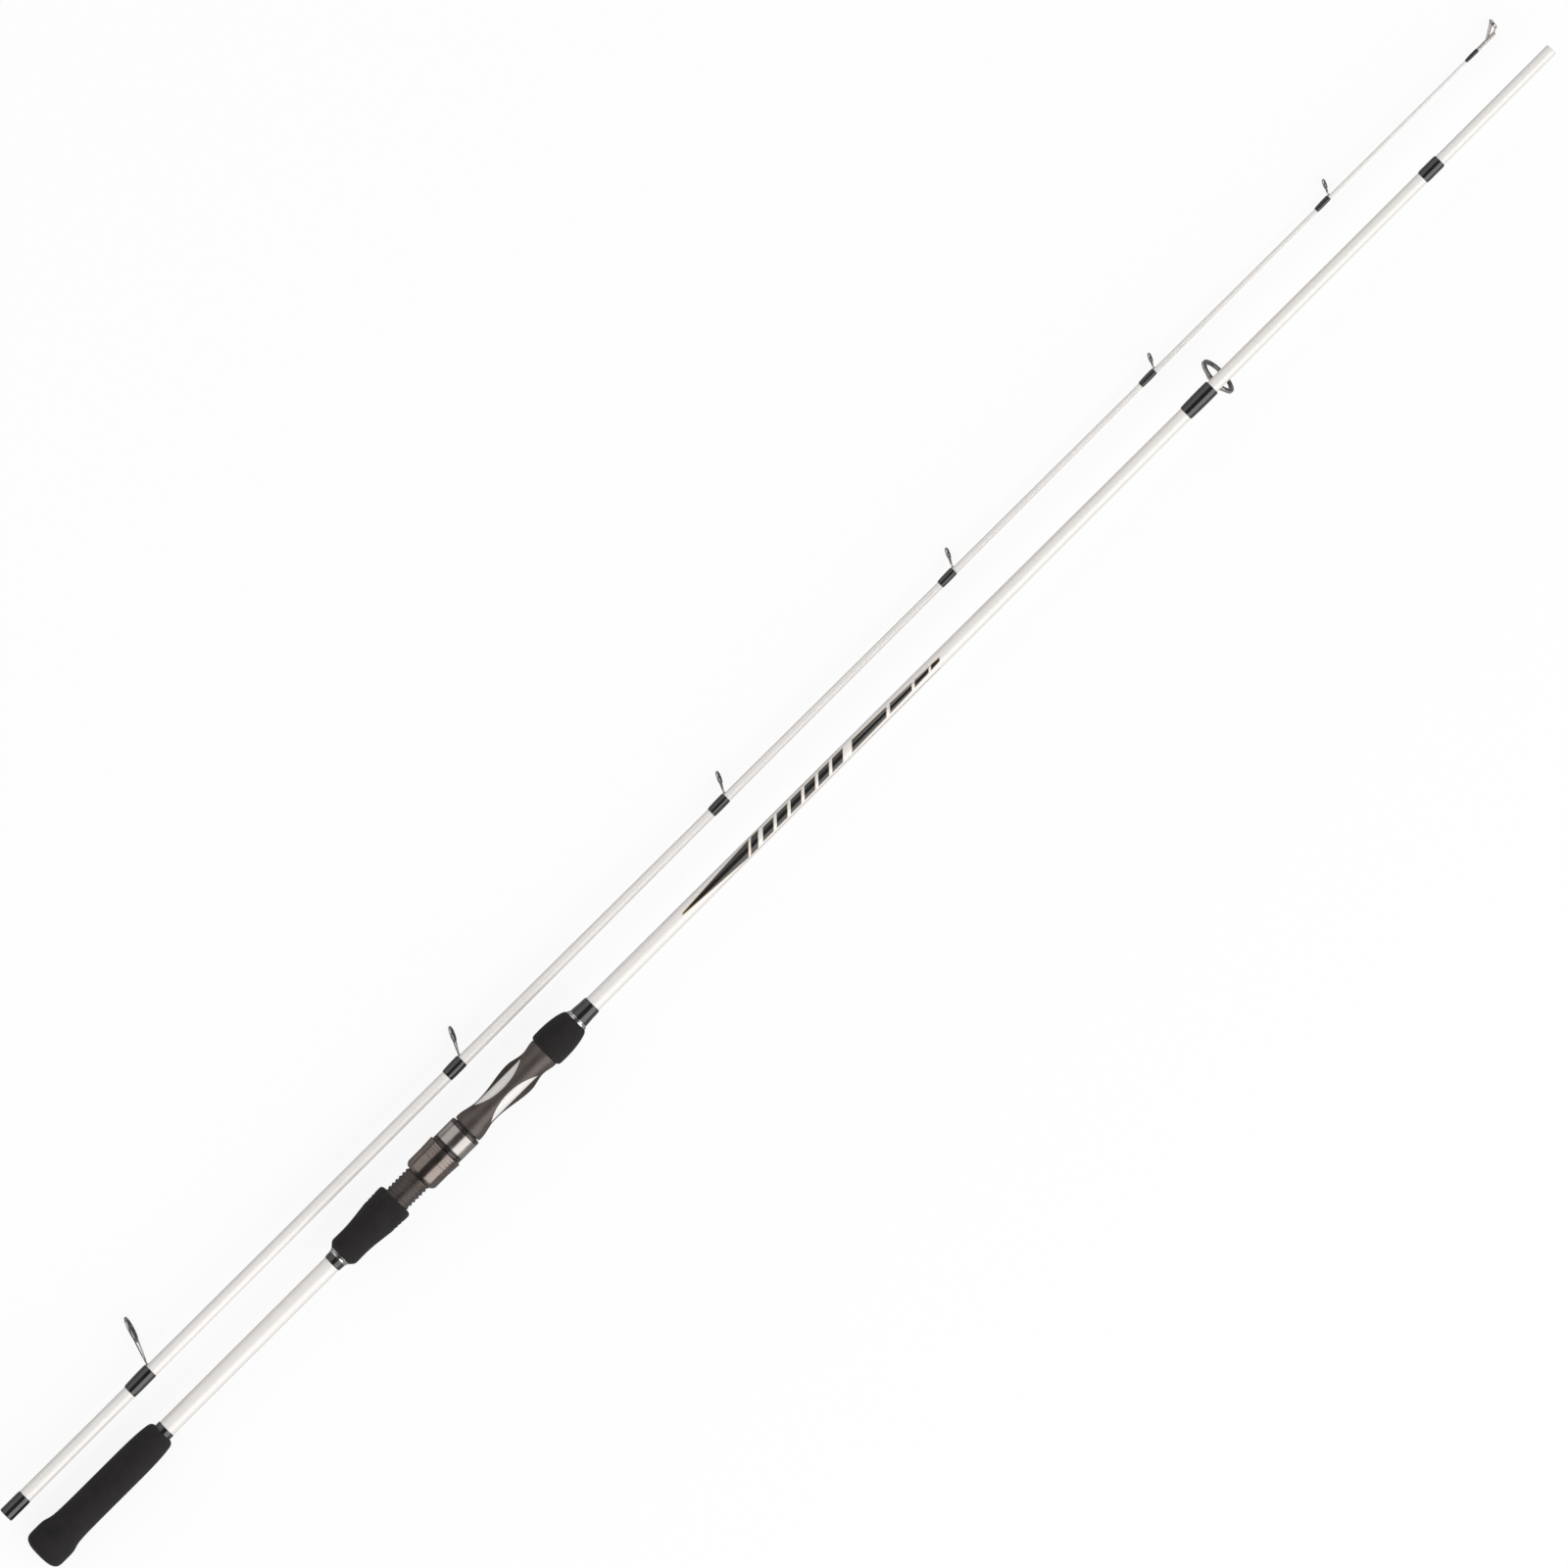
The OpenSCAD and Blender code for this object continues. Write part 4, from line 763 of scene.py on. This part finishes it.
slidingHood = {
    "from": 340.5, "to": 355.7, "ringR": 10.7, "shellR": 10.12, "coverFrom": 341.6, "coverTo": 353.3,
    "shell": {"half": 8.4, "top": -3.0, "bottom": -15.75, "corner": 3.6},
    "shellEnds": [(340.5, -1.0), (340.85, -0.4), (341.8, 0.0), (355.35, 0.0), (355.7, -0.3)],
    "pocket": {"half": 7.1, "top": -2.0, "bottom": -14.45, "corner": 2.6}, "pocketSpan": (343.0, 358.0),
    "bore": (330.0, 360.0, 8.85), "neck": (330.0, 345.1, 9.6), "slot": (341.45, 342.35, 9.85),
    "key": (346.0, 355.5, 0.3, 7.94, 9.25),
    "soften": {"width": 0.2, "segments": 2, "angle": 42},
}


def buildHood(h):
    start, end, ringR, shellR = h["from"], h["to"], h["ringR"], h["shellR"]
    rings = turned([
        (start, 0.0), (start, ringR - 0.35), (start + 0.3, ringR), (h["coverFrom"] - 0.12, ringR),
        (h["coverFrom"] - 0.06, shellR), (h["coverTo"] + 0.06, shellR), (h["coverTo"] + 0.12, ringR + 0.02),
        (end - 0.8, ringR + 0.02), (end - 0.25, ringR - 0.25), (end, ringR - 0.7), (end, 0.0)], 120)
    pocket = hangingBlock(h["pocket"], [(x, 0.0) for x in h["pocketSpan"]])
    cuts = cutAway(plug(*h["bore"]), plug(*h["neck"], 96), plug(*h["slot"], 96), pocket)
    return rings, joined(hangingBlock(h["shell"], h["shellEnds"])) + cuts + joined(boxShape(*h["key"]))


carved("slidingHood", *buildHood(slidingHood), buttLay, "hood", hoodFinish, "hood_metal", ["sliding_hood"],
       slidingHood["soften"])

hoodCover = {"reach": 126, "steps": 84, "glue": 0.05, "edge": 0.12}


def buildCover(c, h):
    # a thin plate that wraps the top and sides of the hood and stops at its canopy
    low, high, x0, x1, edge = h["shellR"] + c["glue"], h["ringR"], h["coverFrom"], h["coverTo"], c["edge"]
    section = [(x0, low), (x0, high - 0.1), (x0 + edge, high), (x0 + 2.5, high), (x1 - 2.5, high), (x1 - edge, high),
               (x1, high - 0.1), (x1, low)]
    turns = [math.radians(-c["reach"] + 2 * c["reach"] * k / c["steps"]) for k in range(c["steps"] + 1)]
    rings = [[(x, r * math.sin(a), r * math.cos(a)) for x, r in section] for a in turns]
    return skinned(rings, lambda k, i: (section[i % len(section)][0], k * 0.56), endAt=lambda k, i: section[i])


addPiece("hoodCover", [buildCover(hoodCover, slidingHood)], buttLay, "hood", coverFinish,
         ["hood_cover"], 30)
print("nut and hood built")

foregrip = {
    "outside": [(420.95, 9.95), (421.1, 10.35), (421.5, 10.85), (422.2, 11.2), (423.2, 11.38), (424.8, 11.46),
                (427.5, 11.5), (430.5, 11.43), (433.5, 11.26), (436.0, 11.0), (438.5, 10.63), (441.0, 10.14),
                (443.2, 9.55), (444.8, 8.95), (445.8, 8.35), (446.3, 7.75)],
    "inside": [(446.3, 5.54), (438.25, 5.54), (438.25, 8.66), (420.95, 8.66)],
    "notch": {"half": 8.4, "top": 0.0, "bottom": -15.78, "corner": 3.6}, "notchSpan": (418.0, 432.5),
    "notchRoom": 0.25,
}


def buildForegrip(g):
    solid = turned(curved(g["outside"]) + g["inside"], 144, closed=True)
    return solid, cutAway(hangingBlock(g["notch"], [(x, g["notchRoom"]) for x in g["notchSpan"]]))


carved("foregripFoam", *buildForegrip(foregrip), buttLay, "butt_section", foamFinish, "eva_foam",
                 ["foregrip"], sharpAngle=55)

foreTrimRing = {"profile": [(446.45, 5.53), (446.45, 7.3), (446.6, 7.46), (446.9, 7.5), (447.3, 7.38), (447.8, 7.05),
                            (448.3, 6.72), (448.7, 6.52), (448.75, 6.4), (448.75, 5.53)]}
addPiece("foreTrimRing", [turned(foreTrimRing["profile"], closed=True)], buttLay, "butt_section", trimFinish,
         ["foregrip_trim_ring"])

foreWinding = {"profile": [(448.85, 5.1), (448.85, 6.42), (449.1, 6.5), (450.5, 6.45), (452.5, 6.26), (455.0, 6.08),
                           (458.0, 5.95), (459.5, 5.86), (460.2, 5.68), (460.5, 5.45), (460.6, 5.1)]}
addPiece("foreWinding", [turned(foreWinding["profile"], closed=True)], buttLay, "butt_section", epoxyFinish,
         ["foregrip_wrap"])

ferruleStopWinding = {"from": 1148.85, "to": 1163.3, "coat": 0.48,
                      "feather": [(0.0, 0.12), (0.25, 0.35), (0.7, 0.72), (1.3, 0.92), (2.2, 1.0)]}


def buildStopWinding(w):
    # thread laid straight on the blank, with the coat feathered out at both ends
    x0, x1, feather = w["from"], w["to"], w["feather"]
    wide = feather[-1][0]
    places = [(x0 + share, full) for share, full in feather]
    places += [(x0 + wide + (x1 - x0 - 2 * wide) * i / 8, 1.0) for i in range(1, 8)]
    places += [(x1 - share, full) for share, full in reversed(feather)]
    outside = [(x, radiusAt(buttStations, x) + w["coat"] * full) for x, full in places]
    inside = [(x, radiusAt(buttStations, x) - 0.08) for x in (x1, (x0 + x1) / 2, x0)]
    return turned(outside + inside, closed=True)


addPiece("ferruleStopWinding", [buildStopWinding(ferruleStopWinding)], buttLay, "butt_section", epoxyFinish,
         ["ferrule_stop_wrap"])

ferruleWinding = {"profile": [(-0.55, 3.65), (-0.6, 3.85), (-0.6, 4.3), (-0.45, 4.52), (-0.1, 4.64), (0.6, 4.7),
                              (13.0, 4.7), (14.4, 4.62), (15.1, 4.48), (15.5, 4.34), (15.6, 4.15), (7.0, 4.2),
                              (0.0, 4.2), (-0.1, 3.65)]}
addPiece("ferruleWinding", [turned(ferruleWinding["profile"], closed=True)], tipLay, "tip_section", epoxyFinish,
         ["ferrule_wrap"])

# what all guides share, in millimetres; each guide then has its own sizes
guideShare = {"sheet": 0.7, "footT": 0.5, "footDrop": 0.2, "holderT": 1.2, "wall": 0.55, "corner": 0.231,
              "ringT": 1.9, "footShare": 0.6, "baseGap": 0.6, "under": 0.42, "rearEnd": 1.4, "frontEnd": 0.9}
stripGuide = {**guideShare, "at": 952.6, "wrap": 22.1, "reach": 20.8, "ringR": 12.7, "holeR": 9.5, "lean": 19,
              "foot": 4.8, "leg": 1.7, "over": 1.5, "sheet": 1.0, "footT": 0.8, "footDrop": 0.3, "holderT": 1.6,
              "wall": 0.75, "corner": 0.24, "ringT": 2.6, "footShare": 0.79, "baseGap": 1.2}
tipGuides = {
    "guide_2": {"at": 102.3, "wrap": 17.9, "reach": 27.0, "ringR": 8.4, "holeR": 5.9, "lean": 19, "foot": 3.6,
                "leg": 1.2, "over": 1.15},
    "guide_3": {"at": 365.8, "wrap": 12.9, "reach": 16.1, "ringR": 5.2, "holeR": 3.5, "lean": 26, "foot": 2.6,
                "leg": 0.9, "over": 0.95},
    "guide_4": {"at": 585.3, "wrap": 12.8, "reach": 12.2, "ringR": 4.2, "holeR": 2.8, "lean": 26, "foot": 2.3,
                "leg": 0.8, "over": 0.9},
    "guide_5": {"at": 775.5, "wrap": 11.8, "reach": 10.6, "ringR": 3.7, "holeR": 2.4, "lean": 26, "foot": 2.0,
                "leg": 0.7, "over": 0.9},
    "guide_6": {"at": 942.1, "wrap": 11.9, "reach": 8.0, "ringR": 3.2, "holeR": 2.0, "lean": 26, "foot": 1.8,
                "leg": 0.6, "over": 0.9},
    "guide_7": {"at": 1088.0, "wrap": 10.9, "reach": 8.0, "ringR": 3.2, "holeR": 2.0, "lean": 26, "foot": 1.8,
                "leg": 0.6, "over": 0.95},
}


def guideWinding(g, stations):
    # the coat follows the guide's foot, thin at its rear tip and thickest at the guide, so its rings sink that way
    span, rearEnd, frontEnd, x0 = g["wrap"], g["rearEnd"], g["frontEnd"], g["at"]
    x1 = x0 + span
    places = [0.0, 0.12, 0.35, 0.7, 1.05] + [rearEnd + (span - rearEnd - frontEnd) * i / 8 for i in range(9)]
    places += [span - share for share in (0.6, 0.35, 0.15, 0.04, 0.0)]
    outside = []
    for place in places:
        t = place / span
        rear, front = max(0.0, 1 - place / rearEnd), max(0.0, 1 - (span - place) / frontEnd)
        skin = math.sqrt(1 - rear ** 2) * (0.35 + 0.65 * math.sqrt(1 - front ** 2))
        low = g["under"] * (1 - 0.3 * (2 * t - 1) ** 2)
        lift = g["over"] * (0.55 + 0.45 * math.sin(math.pi / 2 * min(1.0, 1.2 * t)))
        base = radiusAt(stations, x0 + place)
        outside.append((x0 + place, base + 0.05 + ((low + lift) / 2 - 0.05) * skin, (lift - low) / 2 * skin))
    inside = [(x, radiusAt(stations, x) - 0.08) for x in (x1, (x0 + x1) / 2, x0)]
    return turned(outside + inside, 80, closed=True)


def ringProfile(outer, hole, thick):
    # the line runs on this curve, so its section is an oval with a flatter outside
    middle, half = (outer + hole) / 2, (outer - hole) / 2
    spots = []
    for k in range(24):
        a = 2 * math.pi * k / 24
        c, s = math.cos(a), math.sin(a)
        power = 0.62 if c > 0 else 0.95
        spots.append((math.copysign(abs(s) ** 0.85, s) * thick / 2, middle + half * math.copysign(abs(c) ** power, c)))
    return spots


def holderProfile(outer, wall, thick, corner):
    inner, spots = outer - wall, []
    for x, r, a in ((-thick / 2 + corner, inner + corner, 180), (-thick / 2 + corner, outer - corner, 90),
                    (thick / 2 - corner, outer - corner, 0), (thick / 2 - corner, inner + corner, -90)):
        spots += roundedEdge(x, r, corner, a + 90, a, 4)
    return spots


def leaning(degrees):
    # face looks along the hole of a leaning ring, rise points from the rod to the ring
    c, s = math.cos(math.radians(degrees)), math.sin(math.radians(degrees))
    return Vector((c, 0, s)), Vector((0, 1, 0)), Vector((s, 0, -c))


def ringInHolder(g, lay, sides):
    ringR, wall = g["ringR"], g["wall"]
    holder = turned(holderProfile(ringR, wall, g["holderT"], g["corner"]), sides, closed=True)
    ring = turned(ringProfile(ringR - wall - 0.05, g["holeR"], g["ringT"]), sides, closed=True)
    return placed(holder, lay), placed(ring, lay)


def buildFoot(g, base, r, root, rise, webTop, topHalf):
    # a tongue under the winding, a small heel in front, and a bend up into the web between the two legs
    footT, sheet, footW = g["footT"], g["sheet"], g["foot"] * g["footShare"]
    footZ = -r - 0.1 - footT / 2
    tongue = [(g["at"] + 1.7, 0, -r - 0.2), (g["at"] + 3.5, 0, -r - 0.08 - footT * 0.3),
              (g["at"] + g["wrap"] * 0.5, 0, -r - 0.08 - footT * 0.45), (base - 1.0, 0, footZ), (base + 0.2, 0, footZ),
              (base + 0.95, 0, footZ + 0.02), (base + 1.25, 0, footZ + 0.06)]
    bend = [Vector((base - 1.1, 0, footZ)), Vector((base - 0.55, 0, footZ - 0.03)),
            root + rise * 0.25 + Vector((-0.05, 0, 0)), root + rise * 0.8, root + rise * (webTop * 0.6 + 0.3),
            root + rise * webTop]
    webW = [footW, footW * 1.05, g["foot"] * 0.8, g["foot"] * 0.92, g["foot"] + (2 * topHalf - g["foot"]) * 0.6,
            2 * topHalf]
    return [swept(tongue, (0, 1, 0), [footW * share for share in (0.55, 0.8, 1, 1, 1, 0.8, 0.4)],
                  [0.2] + [footT * share for share in (0.6, 0.9, 1, 1, 0.8, 0.4)]),
            swept(bend, (0, 1, 0), webW, [footT, footT * 1.1, sheet, sheet, sheet, sheet * 0.9])]


def buildGuide(g, stations):
    face, across, rise = leaning(g["lean"])
    r = radiusAt(stations, g["at"])
    base = g["at"] + g["wrap"] + g["baseGap"]
    stand = (g["reach"] - r - g["footDrop"]) / math.cos(math.radians(g["lean"]))
    root = Vector((base, 0, -r - g["footDrop"]))
    ringMiddle = root + rise * stand
    half, leg, ringR, sheet = g["foot"] / 2, g["leg"], g["ringR"], g["sheet"]
    dip = math.asin((ringR - half) / stand)
    touchOut, touchUp = ringR * math.cos(dip) - leg * 0.42, stand - ringR * math.sin(dip)
    webTop = max(touchUp * 0.16, leg * 1.1)
    shapes = buildFoot(g, base, r, root, rise, webTop, half + (touchOut + leg * 0.42 - half) * webTop / touchUp)
    for side in (-1, 1):
        spots, widths, thicks = [], [], []
        for i in range(9):
            t = i / 8
            up = webTop * 0.55 + (touchUp - webTop * 0.55) * t
            share = up / touchUp
            out = (half - leg / 2) + (touchOut - (half - leg / 2)) * share
            out += 0.035 * stand * math.sin(math.pi * min(share, 1)) * 0.35
            if i == 0:  # the leg starts narrow inside the web, so that no corner of it stands out
                out = half * 0.5
            spots.append(root + rise * up + across * side * out)
            widths.append(leg * (1.12 - 0.2 * math.sin(math.pi * t)) * (1.0 if i else 0.5))
            thicks.append(sheet * (1.0 + 0.25 * t))
        for i in range(1, 7):  # from there it follows the ring's outside and thins out
            turn = -dip + 0.11 * i
            hug = ringR - leg * 0.42 - (0.04 + leg * 0.03) * i
            spots.append(ringMiddle + rise * hug * math.sin(turn) + across * side * hug * math.cos(turn))
            widths.append(leg * (1.12 - 0.14 * i))
            thicks.append(sheet * (1.25 - 0.06 * i))
        shapes.append(swept(spots, across, widths, thicks))
    holder, ring = ringInHolder(g, layFrom((face, across, rise), ringMiddle), 72)
    return shapes + [holder], ring


def addGuide(name, g, stations, lay, body):
    label = name.replace("_", "")
    frameShapes, ring = buildGuide(g, stations)
    addPiece(label + "Winding", [guideWinding(g, stations)], lay, body, epoxyFinish, [name + "_wrap"])
    addPiece(label + "Frame", frameShapes, lay, body, guideFinish, [name + "_frame"], 45)
    addPiece(label + "Ring", [ring], lay, body, ringFinish, [name + "_ring"], 60)


addGuide("strip", stripGuide, buttStations, stripLay, "butt_section")
for name, sizes in tipGuides.items():
    addGuide(name, {**guideShare, **sizes}, tipStations, tipLay, "tip_section")
print("guides built")

tipBlank = {"socketR": 3.58, "socketTo": 95.0, "hollowTo": 880.0, "wall": 0.8,
            "end": [(1234.8, 0.75), (1235.0, 0.6), (1235.0, 0.0)]}


def buildTipBlank(t):
    inner = [(t["hollowTo"], 0.0), (t["hollowTo"] - 1, radiusAt(tipStations, t["hollowTo"]) - t["wall"]),
             (tipStations[1][0], tipStations[1][1] - t["wall"]), (t["socketTo"] + 0.5, 3.3),
             (t["socketTo"], t["socketR"]), (0.3, t["socketR"]), (0.0, t["socketR"] + 0.3), (0.0, 4.3)]
    return turned(tapered(tipStations) + t["end"] + inner, 80)


addPiece("tipBlank", [buildTipBlank(tipBlank)], tipLay, "tip_section", tipLacquer, ["tip_blank"])

tipTop = {"tubeAt": 1216.5, "tubeEnd": 1236.7, "tubeR": 1.05, "ringAt": 1239.7, "reach": 4.7, "ringR": 3.2,
          "holeR": 1.9, "lean": 6, "wire": 0.8, "wall": 0.55, "corner": 0.24, "holderT": 1.2, "ringT": 1.8,
          "strut": [(-8.6, 0.62, 0.35), (-4.9, 1.85, -1.0)], "neckAt": (-1.2, 0, -0.35), "neck": (1.0, 0.9)}


def buildTipTop(t):
    # a tube on the blank's end, a strut on each side and a short neck carry the ring
    face, across, rise = leaning(t["lean"])
    end, tubeR, middle = t["tubeEnd"], t["tubeR"], Vector((t["ringAt"], 0, -t["reach"]))
    shapes = [turned([(t["tubeAt"], 0.0), (t["tubeAt"], 0.95), (t["tubeAt"] + 0.15, tubeR), (end - 0.5, tubeR)]
                     + roundedEdge(end - 0.5, tubeR - 0.5, 0.5, 90, 0, 4) + [(end, 0.0)], 48)]
    for side in (-1, 1):
        start, knee = [Vector((end + x, side * y, z)) for x, y, z in t["strut"]]
        top = middle + across * side * (t["ringR"] - 1.0) + rise * 1.8
        shares = [i / 12 for i in range(13)]
        spots = [start * (1 - u) ** 2 + knee * 2 * u * (1 - u) + top * u * u for u in shares]
        shapes.append(swept(spots, across, [t["wire"]] * 13, [t["wire"]] * 13, 2.0, 12))
    neckStart, neckEnd = Vector((end, 0, 0)) + Vector(t["neckAt"]), middle - rise * (t["ringR"] - 0.35)
    spots = [neckStart + (neckEnd - neckStart) * (i / 5) for i in range(6)]
    shapes.append(swept(spots, across, [t["neck"][0]] * 6, [t["neck"][1]] * 6, 2.2, 12))
    holder, ring = ringInHolder(t, layFrom((face, across, rise), middle), 60)
    return shapes + [holder], ring


topShapes, topRing = buildTipTop(tipTop)
addPiece("tipTopFrame", topShapes, tipLay, "tip_section", guideFinish, ["tiptop_frame"], 45)
addPiece("tipTopRing", [topRing], tipLay, "tip_section", ringFinish, ["tiptop_ring"], 60)

topWinding = {"profile": [(1212.5, 0.75), (1212.55, 0.95), (1213.0, 1.03), (1214.0, 1.1), (1215.2, 1.2), (1216.4, 1.27),
                          (1218.5, 1.3), (1221.2, 1.3), (1221.9, 1.25), (1222.2, 1.17), (1222.3, 1.08), (1222.25, 1.0),
                          (1216.6, 1.0), (1214.0, 0.75)]}
addPiece("tipTopWinding", [turned(topWinding["profile"], 72, closed=True)], tipLay, "tip_section", epoxyFinish,
         ["tiptop_wrap"])
print("tip section built")

# the pieces that stay as they are in the frame
kept = {"spigot_plug": sleeveFinish, "window_sleeve": sleeveFinish, "rear_arbor": arborFinish,
        "front_arbor": arborFinish, "fixed_hood_liner": linerFinish, "hood_liner": linerFinish,
        "retaining_ring": guideFinish}
for name, finish in kept.items():
    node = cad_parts[name]
    if not node.data.materials:
        node.data.materials.append(finish)
    for place in node.material_slots:
        place.material = finish

studio = {
    "floorHalf": 7.0, "floorDrop": 0.0004, "floorSeen": 0.95, "floorBounce": 0.3, "floorGlow": 0.88,
    "floorMirrored": 0.1, "worldSoft": 0.4, "worldGloss": 0.08,
    "panel": {"zenith": 54, "distance": 2.6, "length": 7.0, "width": 2.9, "aimY": -0.013},
    "keyRadiance": 1.6, "fillRadiance": 0.66,
    "cameraAt": (0.0037, -0.0132), "cameraHeight": 12.0, "frameWidth": 0.924, "turn": -44.88,
}


def mixShader(tree, share, under, over):
    made = addNode(tree, "ShaderNodeMixShader")
    for i, value in enumerate((share, under.outputs[0], over.outputs[0])):
        tree.links.new(value, made.inputs[i])
    return made


def buildFloor(s):
    bm = bmesh.new()
    bmesh.ops.create_grid(bm, x_segments=8, y_segments=8, size=s["floorHalf"])
    mesh = bpy.data.meshes.new("studioFloor")
    bm.to_mesh(mesh)
    bm.free()
    floor = linked("studioFloor", mesh)
    floor.location.z = -s["floorDrop"]
    finish = bpy.data.materials.new("floorPaper")
    finish.use_nodes = True
    tree = finish.node_tree
    tree.nodes.clear()
    rays = addNode(tree, "ShaderNodeLightPath").outputs
    paper = addNode(tree, "ShaderNodeBsdfDiffuse")
    tone = mixColour(tree, rays["Is Camera Ray"], (s["floorBounce"],) * 3, (s["floorSeen"],) * 3)
    tree.links.new(tone, paper.inputs["Color"])
    glow = addNode(tree, "ShaderNodeEmission", None, {"Color": (1, 1, 1, 1), "Strength": 1.0})
    mirrored = mathNode(tree, "MAXIMUM", rays["Is Glossy Ray"], rays["Is Transmission Ray"])
    share = mathNode(tree, "MAXIMUM", mathNode(tree, "MULTIPLY", rays["Is Camera Ray"], s["floorGlow"]),
                     mathNode(tree, "MULTIPLY", mirrored, s["floorMirrored"]))
    out = addNode(tree, "ShaderNodeOutputMaterial")
    tree.links.new(mixShader(tree, share, paper, glow).outputs[0], out.inputs["Surface"])
    mesh.materials.append(finish)


def addPanel(name, way, radiance, p):
    # a long soft panel beside the rod, parallel to it
    light = bpy.data.lights.new(name, "AREA")
    light.shape = "RECTANGLE"
    light.size, light.size_y = p["length"], p["width"]
    light.energy = radiance * math.pi * p["length"] * p["width"]
    thing = linked(name, light)
    zenith = math.radians(p["zenith"])
    back = Vector((0, way * math.sin(zenith), math.cos(zenith)))
    right = Vector((1, 0, 0))
    thing.matrix_world = layFrom((right, back.cross(right), back), Vector((0, p["aimY"], 0)) + back * p["distance"])
    thing.visible_camera = False


def buildWorld(s):
    world = bpy.data.worlds.new("studioWorld")
    scene.world = world
    world.use_nodes = True
    tree = world.node_tree
    tree.nodes.clear()
    rays = addNode(tree, "ShaderNodeLightPath").outputs
    soft, dim, bright = [addNode(tree, "ShaderNodeBackground", None, {"Color": (1, 1, 1, 1), "Strength": strength})
                         for strength in (s["worldSoft"], s["worldGloss"], 1.0)]
    seen = mixShader(tree, rays["Is Camera Ray"], mixShader(tree, rays["Is Glossy Ray"], soft, dim), bright)
    tree.links.new(seen.outputs[0], addNode(tree, "ShaderNodeOutputWorld").inputs["Surface"])


def buildCamera(s):
    camera = bpy.data.cameras.new("studioCamera")
    camera.sensor_width = 36
    camera.lens = camera.sensor_width * s["cameraHeight"] / s["frameWidth"]
    camera.clip_end = 50
    scene.camera = linked("studioCamera", camera)
    scene.camera.location = (*s["cameraAt"], s["cameraHeight"])
    scene.camera.rotation_euler = (0, 0, math.radians(s["turn"]))


buildFloor(studio)
addPanel("keyPanel", -1, studio["keyRadiance"], studio["panel"])
addPanel("fillPanel", 1, studio["fillRadiance"], studio["panel"])
buildWorld(studio)
buildCamera(studio)
scene.view_settings.view_transform = "Standard"
print("studio ready")
